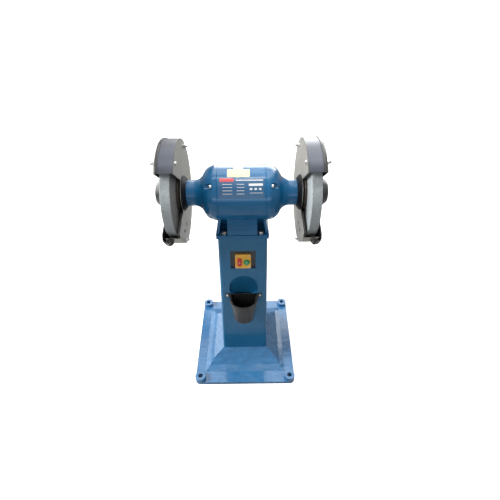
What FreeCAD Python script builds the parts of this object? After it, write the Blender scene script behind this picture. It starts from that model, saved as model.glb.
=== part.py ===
import FreeCAD, Part
import math
import os

import Sketcher

# Pedestal grinder with two wheels on one motor spindle. Millimetres, degrees.
# Origin on the floor under the middle of the column: X along the spindle, -Y to the user, +Z up.

DIMENSIONS = {
    # base casting
    "bolt_span_x": 380,
    "bolt_span_y": 430,
    "base_hole_radius": 10,
    "boss_radius": 22,
    "boss_height": 32,
    "flange_height": 14,
    "base_wall": 9,
    "cove_foot_x": 172,
    "cove_foot_y": 185,
    "cove_middle_x": 152,
    "cove_middle_y": 156,
    "cove_middle_z": 23,
    "cove_head_x": 137,
    "cove_head_y": 132,
    "cove_head_z": 38,
    # column
    "column_foot_x": 95,
    "column_foot_y": 99,
    "column_foot_z": 71,
    "column_head_x": 88,
    "column_head_y": 75.5,
    "column_head_z": 652,
    "column_wall": 6,
    "column_corner": 9,
    "column_foot_flange": 8,
    "column_head_plate": 10,
    "hand_hole_x": 56,
    "hand_hole_y": 60,
    "lead_hole_radius": 13,
    "anchor_x": 74,
    "anchor_y": 78,
    "anchor_radius": 6,
    "anchor_head": 7.5,
    "anchor_length": 24,
    # niche and water pot on the front of the column
    "niche_spring_z": 424,
    "niche_radius": 55,
    "niche_drop": 30,
    "niche_depth": 18,
    "niche_wall": 4,
    "pot_rim_z": 391,
    "pot_top_radius": 52,
    "pot_bottom_radius": 39,
    "pot_height": 98,
    "pot_square": 30,
    "pot_wall": 2.5,
    "pot_floor": 3,
    "pot_rim": 2,
    "pot_rim_height": 5,
    "ear_reach": 71,
    "ear_height": 17,
    "ear_thickness": 4,
    "ear_drop": 8,
    "pot_screw_x": 63.5,
    "pot_screw_radius": 2.5,
    "pot_screw_head": 5,
    "pot_screw_head_height": 3,
    "pot_screw_length": 16,
    # push button switch
    "switch_z": 548,
    "window_x": 46,
    "window_below": 32,
    "window_above": 47,
    "window_border": 8,
    "mount_plate": 3,
    "cover_x": 29,
    "cover_z": 31,
    "cover_depth": 7,
    "cover_corner": 4,
    "stop_offset": 13,
    "stop_x": 8,
    "stop_z": 16,
    "stop_corner": 4,
    "start_offset": 13.5,
    "start_radius": 11,
    "button_drop": 2,
    "button_proud": 6,
    "button_collar": 1.8,
    "button_collar_depth": 2,
    "button_travel": 4,
    "button_gap": 0.3,
    "spring_room": 7,
    "switch_box_x": 27,
    "switch_box_z": 28,
    "switch_box_depth": 48,
    "switch_screw_x": 24.5,
    "switch_screw_z": 26,
    "switch_screw_radius": 1.6,
    "switch_screw_head": 3,
    "switch_screw_head_height": 1.8,
    "spring_radius": 5,
    "spring_wire": 0.6,
    "spring_turns": 4,
    # rear hand cover and cable gland
    "rear_window_x": 50,
    "rear_window_z": 190,
    "rear_window_height": 180,
    "rear_cover_lap": 14,
    "rear_cover_thickness": 2.5,
    "rear_screw_radius": 2.5,
    "rear_screw_head": 5,
    "rear_screw_head_height": 3,
    "rear_screw_length": 14,
    "gland_z": 140,
    "gland_bore": 5,
    "gland_thread": 8,
    "gland_hex": 12.7,
    "gland_hex_depth": 7,
    "gland_dome_depth": 13,
    "gland_dome_tip": 8.8,
    "gland_dome_foot": 11.2,
    "gland_tail": 9,
    # motor frame
    "axis_z": 790,
    "stator_half": 79.5,
    "stator_radius": 94.5,
    "stator_bore": 83,
    "seam_chamfer": 1,
    "foot_x": 93,
    "foot_y": 82,
    "foot_thickness": 13,
    "foot_corner": 6,
    "saddle_x": 52,
    "saddle_front": 80,
    "saddle_step_z": 682,
    "saddle_neck_y": 66,
    "saddle_neck_z": 697,
    "saddle_top_y": 61,
    "saddle_sink": 4,
    "saddle_step_round": 3,
    "rib_top_x": 71,
    "rib_foot_x": 82,
    "rib_thickness": 8,
    "rib_front": 72,
    "rib_top_z": 735,
    "rib_sink": 1,
    "rib_gap": 1,
    "web_half": 3,
    "foot_bolt_x": 65,
    "foot_bolt_y": 65,
    "foot_bolt_radius": 6,
    "foot_bolt_head": 8,
    "foot_bolt_hex": 10.6,
    "foot_bolt_length": 40,
    "washer_radius": 12,
    "washer_thickness": 2.5,
    # end bells
    "bell_land": 4.5,
    "dome_radius": 50,
    "neck_blend": 36,
    "neck_radius": 44,
    "neck_end": 186,
    "bell_bore": 74,
    "bell_bore_taper": 2,
    "bell_rim_depth": 17.5,
    "seat_start": 150,
    "seat_lead": 14,
    "seat_flare": 8,
    "seat_lip": 2,
    "shaft_hole": 18.5,
    "seat_relief": 31,
    "seat_relief_depth": 3,
    "bell_bolt_offset": 88,
    "bell_bolt_angle": 41,
    "bell_bolt_radius": 3,
    "bell_bolt_head": 6,
    "bell_bolt_head_radius": 6,
    "bell_bolt_length": 34,
    "pocket_radius": 10,
    "pocket_length": 40,
    # windings and rotor
    "core_half": 55,
    "stator_core_bore": 52,
    "air_gap": 0.5,
    "winding_inner": 57,
    "winding_outer": 79,
    "winding_length": 19,
    "cage_ring_inner": 34,
    "cage_ring_outer": 49,
    "cage_ring_length": 10,
    # spindle and bearings
    "spindle_middle": 22,
    "spindle_inner": 20,
    "spindle_shoulder": 66,
    "bearing_bore": 17.5,
    "bearing_outer": 36,
    "bearing_width": 17,
    "ball_offset": 26.75,
    "ball_radius": 5.55,
    "ball_gap": 0.15,
    "ball_count": 9,
    "inner_land": 23.3,
    "outer_land": 30.2,
    "cage_inner": 25.3,
    "cage_outer": 28.2,
    "cage_width": 14,
    "spindle_neck": 17,
    "wheel_seat": 16,
    "wheel_seat_setback": 1,
    "thread_radius": 15,
    "thread_tail": 10,
    "spindle_chamfer": 2,
    # wheels, flanges and nuts
    "wheel_radius": 150,
    "wheel_thickness": 32,
    "wheel_inner_x": 216,
    "wheel_bore": 37.5,
    "wheel_edge": 1.5,
    "blotter_radius": 63,
    "blotter_thickness": 0.8,
    "flange_radius": 60,
    "flange_thickness": 7,
    "flange_bevel": 3,
    "flange_relief": 45,
    "flange_relief_depth": 2,
    "hub_fit": 0.1,
    "hub_length": 20,
    "nut_hex": 26,
    "nut_height": 17,
    # guards
    "guard_flange_radius": 60,
    "guard_flange_bore": 24,
    "guard_flange_thickness": 14,
    "guard_flange_rim": 4,
    "guard_flange_lip": 3,
    "guard_screw_count": 4,
    "guard_screw_angle": 45,
    "guard_screw_offset": 32,
    "guard_screw_radius": 4,
    "guard_screw_head": 6.5,
    "guard_screw_head_height": 4.5,
    "guard_screw_length": 28,
    "wheel_side_gap": 10,
    "wheel_rim_gap": 27.5,
    "plate_thickness": 2,
    "band_thickness": 2.5,
    "guard_hub": 59,
    "mouth_angle": 47,
    "mouth_step": 2,
    "mouth_top_angle": 70.7,
    "mouth_low_angle": 43,
    "cheek_tip_angle": 27.5,
    "cheek_tip_inset": 20,
    "flat_angle": 53,
    "flat_inset": 8.5,
    "flat_lead": 41,
    "strip_depth": 7,
    "strip_thickness": 2,
    "strip_end_gap": 9,
    "cover_fit": 0.3,
    "cover_sheet": 2,
    "cover_lip": 11,
    "cover_round": 8,
    "cover_low_angle": 32,
    "cover_hub": 64,
    "dome_base": 58,
    "dome_top": 34,
    "dome_edge": 8,
    "dome_gap": 6,
    "tie_gap": 10,
    "tie_front_angle": 61,
    "tie_rear_angle": 130,
    "tie_low_angle": -66,
    "tie_radius": 4,
    "tie_hex": 7.5,
    "tie_head": 5.5,
    "tie_nut": 6.5,
    "tie_tail": 7,
    # tab and holes for a tool rest
    "tab_height": 18.5,
    "rest_bolt_x": 35,
    "rest_bolt_height": 11,
    "rest_bolt_radius": 6,
    "rest_bolt_hex": 10.4,
    "rest_bolt_head": 7.5,
    "rest_bolt_nut": 10,
    "rest_bolt_tail": 10,
    "rest_hole_radius": 5.5,
    "rest_hole_z": 112,
    "rest_hole_near_y": 22,
    "rest_hole_span": 45,
    # data plate on the motor frame
    "data_x": 73,
    "data_low_angle": 18.5,
    "data_sweep": 40,
    "data_thickness": 0.6,
    # small gaps
    "thread_fit": 0.1,
    "screw_gap": 0.5,
}

V = FreeCAD.Vector
ORIGIN = V(0, 0, 0)
X_AXIS, Y_AXIS, Z_AXIS = V(1, 0, 0), V(0, 1, 0), V(0, 0, 1)
UPRIGHT = FreeCAD.Rotation()
ALONG_X = FreeCAD.Rotation(Y_AXIS, 90)
ALONG_BACK = FreeCAD.Rotation(X_AXIS, -90)
BEYOND = 40
PAST = 1

doc = FreeCAD.newDocument("PedestalGrinder")
sheet = doc.addObject("Spreadsheet::Sheet", "Dims")
nodes = []


# ---- sizes that carry their own expression --------------------------------------------------

class Size:
    """A number together with the spreadsheet expression that it comes from."""

    def __init__(self, text, number):
        self.text = text
        self.number = number

    def __add__(self, other):
        other = as_size(other)
        return Size(f"({self.text} + {other.text})", self.number + other.number)

    def __sub__(self, other):
        other = as_size(other)
        return Size(f"({self.text} - {other.text})", self.number - other.number)

    def __mul__(self, other):
        other = as_size(other)
        return Size(f"({self.text} * {other.text})", self.number * other.number)

    def __truediv__(self, other):
        other = as_size(other)
        return Size(f"({self.text} / {other.text})", self.number / other.number)

    def __neg__(self):
        return Size(f"(-1 * {self.text})", -self.number)

    def __radd__(self, other):
        return as_size(other) + self

    def __rsub__(self, other):
        return as_size(other) - self

    def __rmul__(self, other):
        return as_size(other) * self

    def __rtruediv__(self, other):
        return as_size(other) / self


def as_size(value):
    return value if isinstance(value, Size) else Size(f"{value:.10g}", float(value))


def cosine(angle):
    angle = as_size(angle)
    return Size(f"cos({angle.text})", math.cos(math.radians(angle.number)))


def sine(angle):
    angle = as_size(angle)
    return Size(f"sin({angle.text})", math.sin(math.radians(angle.number)))


def root(value):
    return Size(f"sqrt({value.text})", math.sqrt(value.number))


def arctangent(ratio):
    return Size(f"atan({ratio.text})", math.degrees(math.atan(ratio.number)))


class Sheet:
    """Reads a cell of the spreadsheet by its alias."""

    def __getattr__(self, alias):
        return Size(f"Dims.{alias}", float(getattr(sheet, alias)))


def fill_sheet():
    for row, (alias, value) in enumerate(DIMENSIONS.items(), start=1):
        sheet.set(f"A{row}", alias)
        sheet.set(f"B{row}", str(value))
        sheet.setAlias(f"B{row}", alias)
    doc.recompute()


fill_sheet()
d = Sheet()


# ---- bound solids ---------------------------------------------------------------------------

def bind(piece, **sizes):
    for name, size in sizes.items():
        piece.setExpression(name, as_size(size).text)
    return piece


def place(piece, x=0, y=0, z=0, turn=UPRIGHT):
    piece.Placement = FreeCAD.Placement(ORIGIN, turn)
    for letter, size in (("x", x), ("y", y), ("z", z)):
        piece.setExpression("Placement.Base." + letter, as_size(size).text)
    return piece


def box(x, y, z):
    """A box between three pairs of limits."""
    piece = doc.addObject("Part::Box", "Box")
    bind(piece, Length=x[1] - x[0], Width=y[1] - y[0], Height=z[1] - z[0])
    return place(piece, x[0], y[0], z[0])


def post(radius, z, x=0, y=0):
    """An upright cylinder."""
    piece = doc.addObject("Part::Cylinder", "Post")
    bind(piece, Radius=radius, Height=z[1] - z[0])
    return place(piece, x, y, z[0])


def rod(radius, x, y=0, z=0):
    """A cylinder along X, measured from the spindle axis."""
    piece = doc.addObject("Part::Cylinder", "Rod")
    bind(piece, Radius=radius, Height=x[1] - x[0])
    return place(piece, x[0], y, d.axis_z + z, ALONG_X)


def pin(radius, y, x=0, z=0):
    """A cylinder along Y, from the first limit back to the second."""
    piece = doc.addObject("Part::Cylinder", "Pin")
    bind(piece, Radius=radius, Height=y[1] - y[0])
    return place(piece, x, y[0], z, ALONG_BACK)


def hexagon(corner, length):
    piece = doc.addObject("Part::Prism", "Hexagon")
    piece.Polygon = 6
    return bind(piece, Circumradius=corner, Height=length)


def frustum(z, low, high):
    """A four sided block whose half width and half depth go from low to high."""
    piece = doc.addObject("Part::Wedge", "Frustum")
    bind(piece, Ymin=z[0], Ymax=z[1])
    bind(piece, Xmin=-low[0], Xmax=low[0], Zmin=-low[1], Zmax=low[1])
    bind(piece, X2min=-high[0], X2max=high[0], Z2min=-high[1], Z2max=high[1])
    piece.Placement = FreeCAD.Placement(ORIGIN, FreeCAD.Rotation(X_AXIS, 90))
    return piece


def fuse(*pieces):
    result = doc.addObject("Part::MultiFuse", "Fusion")
    result.Shapes = list(pieces)
    result.Refine = True
    return result


def cut(base, *tools):
    result = doc.addObject("Part::Cut", "Cut")
    result.Base = base
    result.Tool = tools[0] if len(tools) == 1 else fuse(*tools)
    return result


def common(base, tool):
    result = doc.addObject("Part::Common", "Common")
    result.Base = base
    result.Tool = tool
    return result


def group(*pieces):
    result = doc.addObject("Part::Compound", "Group")
    result.Links = list(pieces)
    return result


def mirror(piece, normal=X_AXIS):
    result = doc.addObject("Part::Mirroring", "Mirror")
    result.Source = piece
    result.Normal = normal
    return result


def tube(inner, outer, x):
    return cut(rod(outer, x), rod(inner, x))


def round_edges(piece, radius, wanted):
    """Round the edges that wanted(edge) picks."""
    doc.recompute()
    edges = piece.Shape.Edges
    result = doc.addObject("Part::Fillet", "Fillet")
    result.Base = piece
    result.Edges = [(i, radius.number, radius.number) for i, edge in enumerate(edges, 1) if wanted(edge)]
    return result


def is_upright(edge):
    start, end = edge.Vertexes[0].Point, edge.Vertexes[-1].Point
    return abs(end.z - start.z) > 0.9 * edge.Length


def is_along_y(edge):
    start, end = edge.Vertexes[0].Point, edge.Vertexes[-1].Point
    return abs(end.y - start.y) > 0.99 * edge.Length


# ---- sketched solids ------------------------------------------------------------------------

def arc_between(start, end, radius):
    """The short arc from start to end. A positive radius turns left."""
    chord = end - start
    half = chord.Length / 2
    height = math.sqrt(radius * radius - half * half)
    left = V(-chord.y, chord.x, 0).normalize()
    centre = start + chord * 0.5 + left * math.copysign(height, radius)
    first, last = (start, end) if radius > 0 else (end, start)
    angles = [math.atan2(point.y - centre.y, point.x - centre.x) for point in (first, last)]
    circle = Part.Circle(centre, Z_AXIS, abs(radius))
    return Part.ArcOfCircle(circle, angles[0], angles[1])


def constrain(sketch, name, text, *arguments):
    index = sketch.addConstraint(Sketcher.Constraint(*arguments))
    sketch.renameConstraint(index, name)
    sketch.setExpression("Constraints." + name, text)


def draw_outline(sketch, corners):
    """A closed outline. A corner is (across, up), or (across, up, radius) where an arc leads to it."""
    corners = [tuple(as_size(value) for value in corner) for corner in corners]
    points = [V(corner[0].number, corner[1].number, 0) for corner in corners]
    ends = []
    for i, corner in enumerate(corners):
        start, end = points[i - 1], points[i]
        if len(corner) == 2:
            index = sketch.addGeometry(Part.LineSegment(start, end))
            ends.append((index, 1, 2))
            continue
        index = sketch.addGeometry(arc_between(start, end, corner[2].number))
        turns_left = corner[2].number > 0
        ends.append((index, 1, 2) if turns_left else (index, 2, 1))
        size = corner[2] if turns_left else -corner[2]
        constrain(sketch, f"radius{i}", size.text, "Radius", index, size.number)
    for i, corner in enumerate(corners):
        index, _, finish = ends[i]
        following, start, _ = ends[(i + 1) % len(ends)]
        sketch.addConstraint(Sketcher.Constraint("Coincident", index, finish, following, start))
        for letter, kind, size, axis in zip(("across", "up"), ("DistanceX", "DistanceY"), corner, (-2, -1)):
            if abs(size.number) < 1e-9:
                sketch.addConstraint(Sketcher.Constraint("PointOnObject", index, finish, axis))
            else:
                constrain(sketch, f"{letter}{i}", size.text, kind, -1, 1, index, finish, size.number)


def sketched_body(role, corners):
    body = doc.addObject("PartDesign::Body", "Body")
    sketch = body.newObject("Sketcher::SketchObject", "Sketch")
    plane = next(feature for feature in body.Origin.OriginFeatures if feature.Role == role)
    sketch.AttachmentSupport = [(plane, "")]
    sketch.MapMode = "FlatFace"
    draw_outline(sketch, corners)
    return body, sketch


def turned(corners):
    """A solid turned about the spindle axis. Corners are (along X, radius)."""
    body, sketch = sketched_body("XY_Plane", corners)
    turn = body.newObject("PartDesign::Revolution", "Revolution")
    turn.Profile = sketch
    turn.ReferenceAxis = (sketch, ["H_Axis"])
    turn.Angle = 360
    return place(body, z=d.axis_z)


def padded(role, corners, length):
    body, sketch = sketched_body(role, corners)
    pad = body.newObject("PartDesign::Pad", "Pad")
    pad.Profile = sketch
    bind(pad, Length=length)
    return body


def slab_along_x(x, corners, z=0):
    """An outline of (y, z) corners, padded between two X limits."""
    return place(padded("YZ_Plane", corners, x[1] - x[0]), x=x[0], z=z)


def slab_along_y(y, corners):
    """An outline of (x, z) corners, padded between two Y limits."""
    return place(padded("XZ_Plane", corners, y[1] - y[0]), y=y[1])


# ---- places ---------------------------------------------------------------------------------

def lean():
    """How far the column's front and rear faces lean in for each millimetre of height."""
    return (d.column_foot_y - d.column_head_y) / (d.column_head_z - d.column_foot_z)


def on_front_face(piece, height):
    """Carry a piece made about the origin onto the leaning front face, local Y pointing into the column."""
    piece.Placement = FreeCAD.Placement(ORIGIN, FreeCAD.Rotation(X_AXIS, -1))
    face_y = (height - d.column_foot_z) * lean() - d.column_foot_y
    piece.setExpression("Placement.Base.y", face_y.text)
    piece.setExpression("Placement.Base.z", height.text)
    piece.setExpression("Placement.Rotation.Angle", (-arctangent(lean())).text)
    return piece


def polar(radius, angle):
    """Y and Z from the spindle axis at an angle above the front horizontal."""
    return -radius * cosine(angle), radius * sine(angle)


def four_corners(x, y):
    return [(x * across, y * along) for across in (-1, 1) for along in (-1, 1)]


def around_zero(half):
    return (-half, half)


def node(name, piece):
    piece.Label = name
    nodes.append(piece)
    return piece


def both_sides(name, piece):
    node("right_" + name, piece)
    node("left_" + name, mirror(piece))


# ---- the stand ------------------------------------------------------------------------------

def base_steps():
    """Half width, half depth and height of each step of the base's rise to the column."""
    return [
        (d.cove_foot_x, d.cove_foot_y, d.flange_height),
        (d.cove_middle_x, d.cove_middle_y, d.cove_middle_z),
        (d.cove_head_x, d.cove_head_y, d.cove_head_z),
        (d.column_foot_x, d.column_foot_y, d.column_foot_z),
    ]


def rise(steps, shrink, drop):
    blocks = []
    for (x0, y0, z0), (x1, y1, z1) in zip(steps, steps[1:]):
        low, high = (x0 - shrink, y0 - shrink), (x1 - shrink, y1 - shrink)
        blocks.append(frustum((z0 - drop, z1 - drop), low, high))
    return blocks


def make_base():
    hole_x, hole_y = d.bolt_span_x / 2, d.bolt_span_y / 2
    edge_x, edge_y = hole_x + d.boss_radius, hole_y + d.boss_radius
    height = (as_size(0), d.flange_height)
    corners = four_corners(hole_x, hole_y)
    bosses = [post(d.boss_radius, (as_size(0), d.boss_height), x, y) for x, y in corners]
    outside = fuse(
        box(around_zero(edge_x), around_zero(hole_y), height),
        box(around_zero(hole_x), around_zero(edge_y), height),
        *bosses,
        *rise(base_steps(), as_size(0), as_size(0)),
    )
    steps = base_steps()
    under = (as_size(-BEYOND), d.flange_height - d.base_wall)
    mouth_x, mouth_y = d.cove_foot_x - d.base_wall, d.cove_foot_y - d.base_wall
    inside = fuse(
        box(around_zero(mouth_x), around_zero(mouth_y), under),
        *rise(steps, d.base_wall, d.base_wall),
        box(around_zero(d.hand_hole_x), around_zero(d.hand_hole_y), (as_size(0), d.column_foot_z + BEYOND)),
    )
    through = (as_size(-BEYOND), d.boss_height + BEYOND)
    holes = [post(d.base_hole_radius, through, x, y) for x, y in corners]
    tapped_z, tapped = (as_size(0), d.column_foot_z + BEYOND), d.anchor_radius + d.thread_fit
    holes += [post(tapped, tapped_z, x, y) for x, y in four_corners(d.anchor_x, d.anchor_y)]
    node("base_casting", cut(outside, inside, *holes))


def make_anchor_bolts():
    head_z = d.column_foot_z + d.column_foot_flange
    bolts = []
    for x, y in four_corners(d.anchor_x, d.anchor_y):
        head = place(hexagon(d.foot_bolt_hex, d.anchor_head), x, y, head_z)
        shank = post(d.anchor_radius, (head_z - d.anchor_length, head_z), x, y)
        bolts.append(fuse(head, shank))
    node("column_anchor_bolts", group(*bolts))


def niche_form(grow, depth):
    radius = d.niche_radius + grow
    return fuse(
        pin(radius, (as_size(-BEYOND), depth)),
        box(around_zero(radius), (as_size(-BEYOND), depth), (-d.niche_drop - grow, as_size(0))),
    )


def column_section(height, wall):
    """Half width and half depth of the column at a height, less a wall."""
    above = height - d.column_foot_z
    side_lean = (d.column_foot_x - d.column_head_x) / (d.column_head_z - d.column_foot_z)
    return d.column_foot_x - above * side_lean - wall, d.column_foot_y - above * lean() - wall


def make_column():
    foot, head = (d.column_foot_x, d.column_foot_y), (d.column_head_x, d.column_head_y)
    outside = frustum((d.column_foot_z, d.column_head_z), foot, head)
    outside = round_edges(outside, d.column_corner, is_upright)
    inner_z = (d.column_foot_z + d.column_foot_flange, d.column_head_z - d.column_head_plate)
    inner_foot, inner_head = (column_section(height, d.column_wall) for height in inner_z)
    hollow = frustum(inner_z, inner_foot, inner_head)
    ahead = -d.column_foot_y - BEYOND
    front = slab_along_x(around_zero(d.column_foot_x + BEYOND), [
        (ahead, inner_z[0]), (-inner_foot[1], inner_z[0]), (-inner_head[1], inner_z[1]), (ahead, inner_z[1]),
    ])
    liner = on_front_face(niche_form(d.niche_wall, d.niche_depth + d.niche_wall), d.niche_spring_z)
    niche = on_front_face(niche_form(as_size(0), d.niche_depth), d.niche_spring_z)
    window_z = (-d.window_below, d.window_above)
    window = box(around_zero(d.window_x), (as_size(-BEYOND), d.column_wall + BEYOND), window_z)
    window = on_front_face(group(window), d.switch_z)
    screws = [pot_screw_hole(side) for side in (-1, 1)]
    top_z = (d.column_head_z - BEYOND, d.column_head_z + BEYOND)
    bolt_hole = d.foot_bolt_radius + d.thread_fit
    bolts = [post(bolt_hole, top_z, x, y) for x, y in four_corners(d.foot_bolt_x, d.foot_bolt_y)]
    face = fuse(common(outside, front), common(liner, outside))
    node("column_face", cut(face, niche, window, *screws, *bolts))
    rear_z = (as_size(0), d.rear_window_height)
    rear = box(around_zero(d.rear_window_x), (as_size(-BEYOND), d.column_wall + BEYOND), rear_z)
    rear = mirror(on_front_face(group(rear), d.rear_window_z), Y_AXIS)
    gland = pin(d.gland_thread + d.thread_fit, (as_size(-BEYOND), d.column_wall + BEYOND))
    gland = mirror(on_front_face(group(gland), d.gland_z), Y_AXIS)
    floor_z = (d.column_foot_z - BEYOND, d.column_foot_z + d.column_foot_flange + BEYOND)
    hand_hole = box(around_zero(d.hand_hole_x), around_zero(d.hand_hole_y), floor_z)
    anchor_hole = d.anchor_radius + d.screw_gap
    holes = [post(anchor_hole, floor_z, x, y) for x, y in four_corners(d.anchor_x, d.anchor_y)]
    holes.append(post(d.lead_hole_radius, top_z))
    node("column", cut(outside, hollow, front, rear, gland, hand_hole, *holes, *bolts, *rear_screw_holes()))


# ---- water pot ------------------------------------------------------------------------------

def pot_form(shrink, floor):
    """The cup's shape: a tapered half round front on a tapered square back."""
    top, bottom = d.pot_top_radius - shrink, d.pot_bottom_radius - shrink
    square = d.pot_square
    cone = doc.addObject("Part::Cone", "Cone")
    bind(cone, Radius1=bottom, Radius2=top, Height=d.pot_height)
    place(cone, 0, -square, floor - d.pot_height)
    outline = [(-bottom, 0), (bottom, 0), (top, d.pot_height), (-top, d.pot_height)]
    back = place(padded("XZ_Plane", outline, square - shrink), 0, -shrink, floor - d.pot_height)
    front = box(around_zero(top), (-square - top, -square), (-d.pot_height - BEYOND, as_size(BEYOND)))
    return fuse(common(cone, front), back)


def pot_rim_form():
    top, square = d.pot_top_radius + d.pot_rim, d.pot_square
    height = (-d.pot_rim_height, as_size(0))
    disc = post(top, height, 0, -square)
    front = box(around_zero(top), (-square - top, -square), height)
    return fuse(common(disc, front), box(around_zero(top), (-square, as_size(0)), height))


def make_pot():
    inside = pot_form(d.pot_wall, d.pot_floor)
    lip_z = (-d.pot_rim_height - d.pot_wall, as_size(BEYOND))
    mouth_top = d.pot_top_radius - d.pot_wall
    round_front = box(around_zero(mouth_top), (-d.pot_square - mouth_top, -d.pot_square), lip_z)
    mouth = fuse(
        common(post(mouth_top, lip_z, 0, -d.pot_square), round_front),
        box(around_zero(mouth_top), (-d.pot_square, -d.pot_wall), lip_z),
    )
    top = -d.ear_drop + d.ear_height / 2
    ears = box(around_zero(d.ear_reach), (-d.ear_thickness, as_size(0)), (top - d.ear_height, top))
    cup = fuse(pot_form(as_size(0), as_size(0)), pot_rim_form(), ears)
    hole_y, hole_radius = around_zero(as_size(BEYOND)), d.pot_screw_radius + d.screw_gap
    holes = [pin(hole_radius, hole_y, side * d.pot_screw_x, -d.ear_drop) for side in (-1, 1)]
    front = -d.pot_square - mouth_top - BEYOND
    over = box(around_zero(mouth_top + BEYOND), (front, as_size(BEYOND)), (as_size(0), as_size(BEYOND)))
    node("water_pot", on_front_face(cut(cup, inside, mouth, over, *holes), d.pot_rim_z))


def pot_screw_hole(side):
    y = (as_size(-BEYOND), d.column_wall + BEYOND)
    hole = pin(d.pot_screw_radius + d.thread_fit, y, side * d.pot_screw_x, -d.ear_drop)
    return on_front_face(group(hole), d.pot_rim_z)


def make_pot_screws():
    screws = []
    seat = -d.ear_thickness
    for side in (-1, 1):
        x, z = side * d.pot_screw_x, -d.ear_drop
        head = pin(d.pot_screw_head, (seat - d.pot_screw_head_height, seat), x, z)
        shank = pin(d.pot_screw_radius, (seat, seat + d.pot_screw_length), x, z)
        screws.append(fuse(head, shank))
    node("pot_screws", on_front_face(group(*screws), d.pot_rim_z))


# ---- push button switch ---------------------------------------------------------------------

def switch_depths():
    """Y of the cover's face, the cover's back, the mount plate's back and the box's back."""
    plate_front = d.column_wall
    plate_back = plate_front + d.mount_plate
    return plate_front - d.cover_depth, plate_front, plate_back, plate_back + d.switch_box_depth


def well_floor():
    return switch_depths()[2] + d.button_travel + d.spring_room


def stop_block(grow, y):
    x, z = d.stop_x + grow, d.stop_z + grow
    middle = (-d.stop_offset - x, -d.stop_offset + x)
    return round_edges(box(middle, y, (-d.button_drop - z, -d.button_drop + z)), d.stop_corner, is_along_y)


def start_block(grow, y):
    return pin(d.start_radius + grow, y, d.start_offset, -d.button_drop)


def make_switch():
    face, cover_back, plate_back, box_back = switch_depths()
    border = d.window_border
    plate_z = (-d.window_below - border, d.window_above + border)
    plate = box(around_zero(d.window_x + border), (cover_back, plate_back), plate_z)
    collar, passage_y = d.button_collar + d.button_gap, (cover_back - BEYOND, plate_back + BEYOND)
    passage = [block(collar, passage_y) for block in (stop_block, start_block)]
    screw_y, screw_hole = (face - BEYOND, plate_back + BEYOND), d.switch_screw_radius + d.thread_fit
    screw_places = four_corners(d.switch_screw_x, d.switch_screw_z)
    screw_holes = [pin(screw_hole, screw_y, x, z) for x, z in screw_places]
    node("switch_mount_plate", on_front_face(cut(plate, *passage, *screw_holes), d.switch_z))
    cover = box(around_zero(d.cover_x), (face, cover_back), around_zero(d.cover_z))
    cover = round_edges(cover, d.cover_corner, is_along_y)
    opening_y = (face - BEYOND, cover_back + BEYOND)
    openings = [block(d.button_gap, opening_y) for block in (stop_block, start_block)]
    node("switch_cover", on_front_face(cut(cover, *openings, *screw_holes), d.switch_z))
    body = box(around_zero(d.switch_box_x), (plate_back, box_back), around_zero(d.switch_box_z))
    well_y = (plate_back - BEYOND, well_floor())
    wells = [block(collar, well_y) for block in (stop_block, start_block)]
    node("switch_box", on_front_face(cut(body, *wells, *screw_holes), d.switch_z))
    for name, block in (("stop", stop_block), ("start", start_block)):
        collar_y = (cover_back + d.button_gap, cover_back + d.button_gap + d.button_collar_depth)
        stem_y = (face - d.button_proud, collar_y[0])
        button = fuse(block(as_size(0), stem_y), block(d.button_collar, collar_y))
        node(name + "_button", on_front_face(button, d.switch_z))
    node("stop_button_spring", on_front_face(group(button_spring(-d.stop_offset)), d.switch_z))
    node("start_button_spring", on_front_face(group(button_spring(d.start_offset)), d.switch_z))
    screws = []
    for x, z in screw_places:
        head = pin(d.switch_screw_head, (face - d.switch_screw_head_height, face), x, z)
        shank = pin(d.switch_screw_radius, (face, well_floor()), x, z)
        screws.append(fuse(head, shank))
    node("switch_screws", on_front_face(group(*screws), d.switch_z))


def button_spring(x):
    """A coil between the floor of the button's well and the collar of the released button."""
    floor = well_floor()
    top = switch_depths()[1] + d.button_gap * 2 + d.button_collar_depth
    length = floor - top - d.spring_wire * 2
    coil = doc.addObject("Part::Helix", "Coil")
    bind(coil, Radius=d.spring_radius, Height=length, Pitch=length / d.spring_turns)
    wire = doc.addObject("Part::Circle", "Wire")
    bind(wire, Radius=d.spring_wire)
    place(wire, x=d.spring_radius, turn=FreeCAD.Rotation(X_AXIS, 90))
    sweep = doc.addObject("Part::Sweep", "Spring")
    sweep.Sections = [wire]
    sweep.Spine = (coil, [])
    sweep.Solid = True
    sweep.Frenet = True
    return place(group(sweep), x, floor - d.spring_wire, -d.button_drop, FreeCAD.Rotation(X_AXIS, 90))


# ---- rear cover and cable gland -------------------------------------------------------------

def rear_screw_places():
    x = d.rear_window_x + d.rear_cover_lap / 2
    low = -d.rear_cover_lap / 2
    high = d.rear_window_height + d.rear_cover_lap / 2
    return [(x * side, z) for side in (-1, 1) for z in (low, high)]


def rear_screw_holes():
    y = (as_size(-BEYOND), d.column_wall + BEYOND)
    holes = [pin(d.rear_screw_radius + d.thread_fit, y, x, z) for x, z in rear_screw_places()]
    return [mirror(on_front_face(group(hole), d.rear_window_z), Y_AXIS) for hole in holes]


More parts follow.
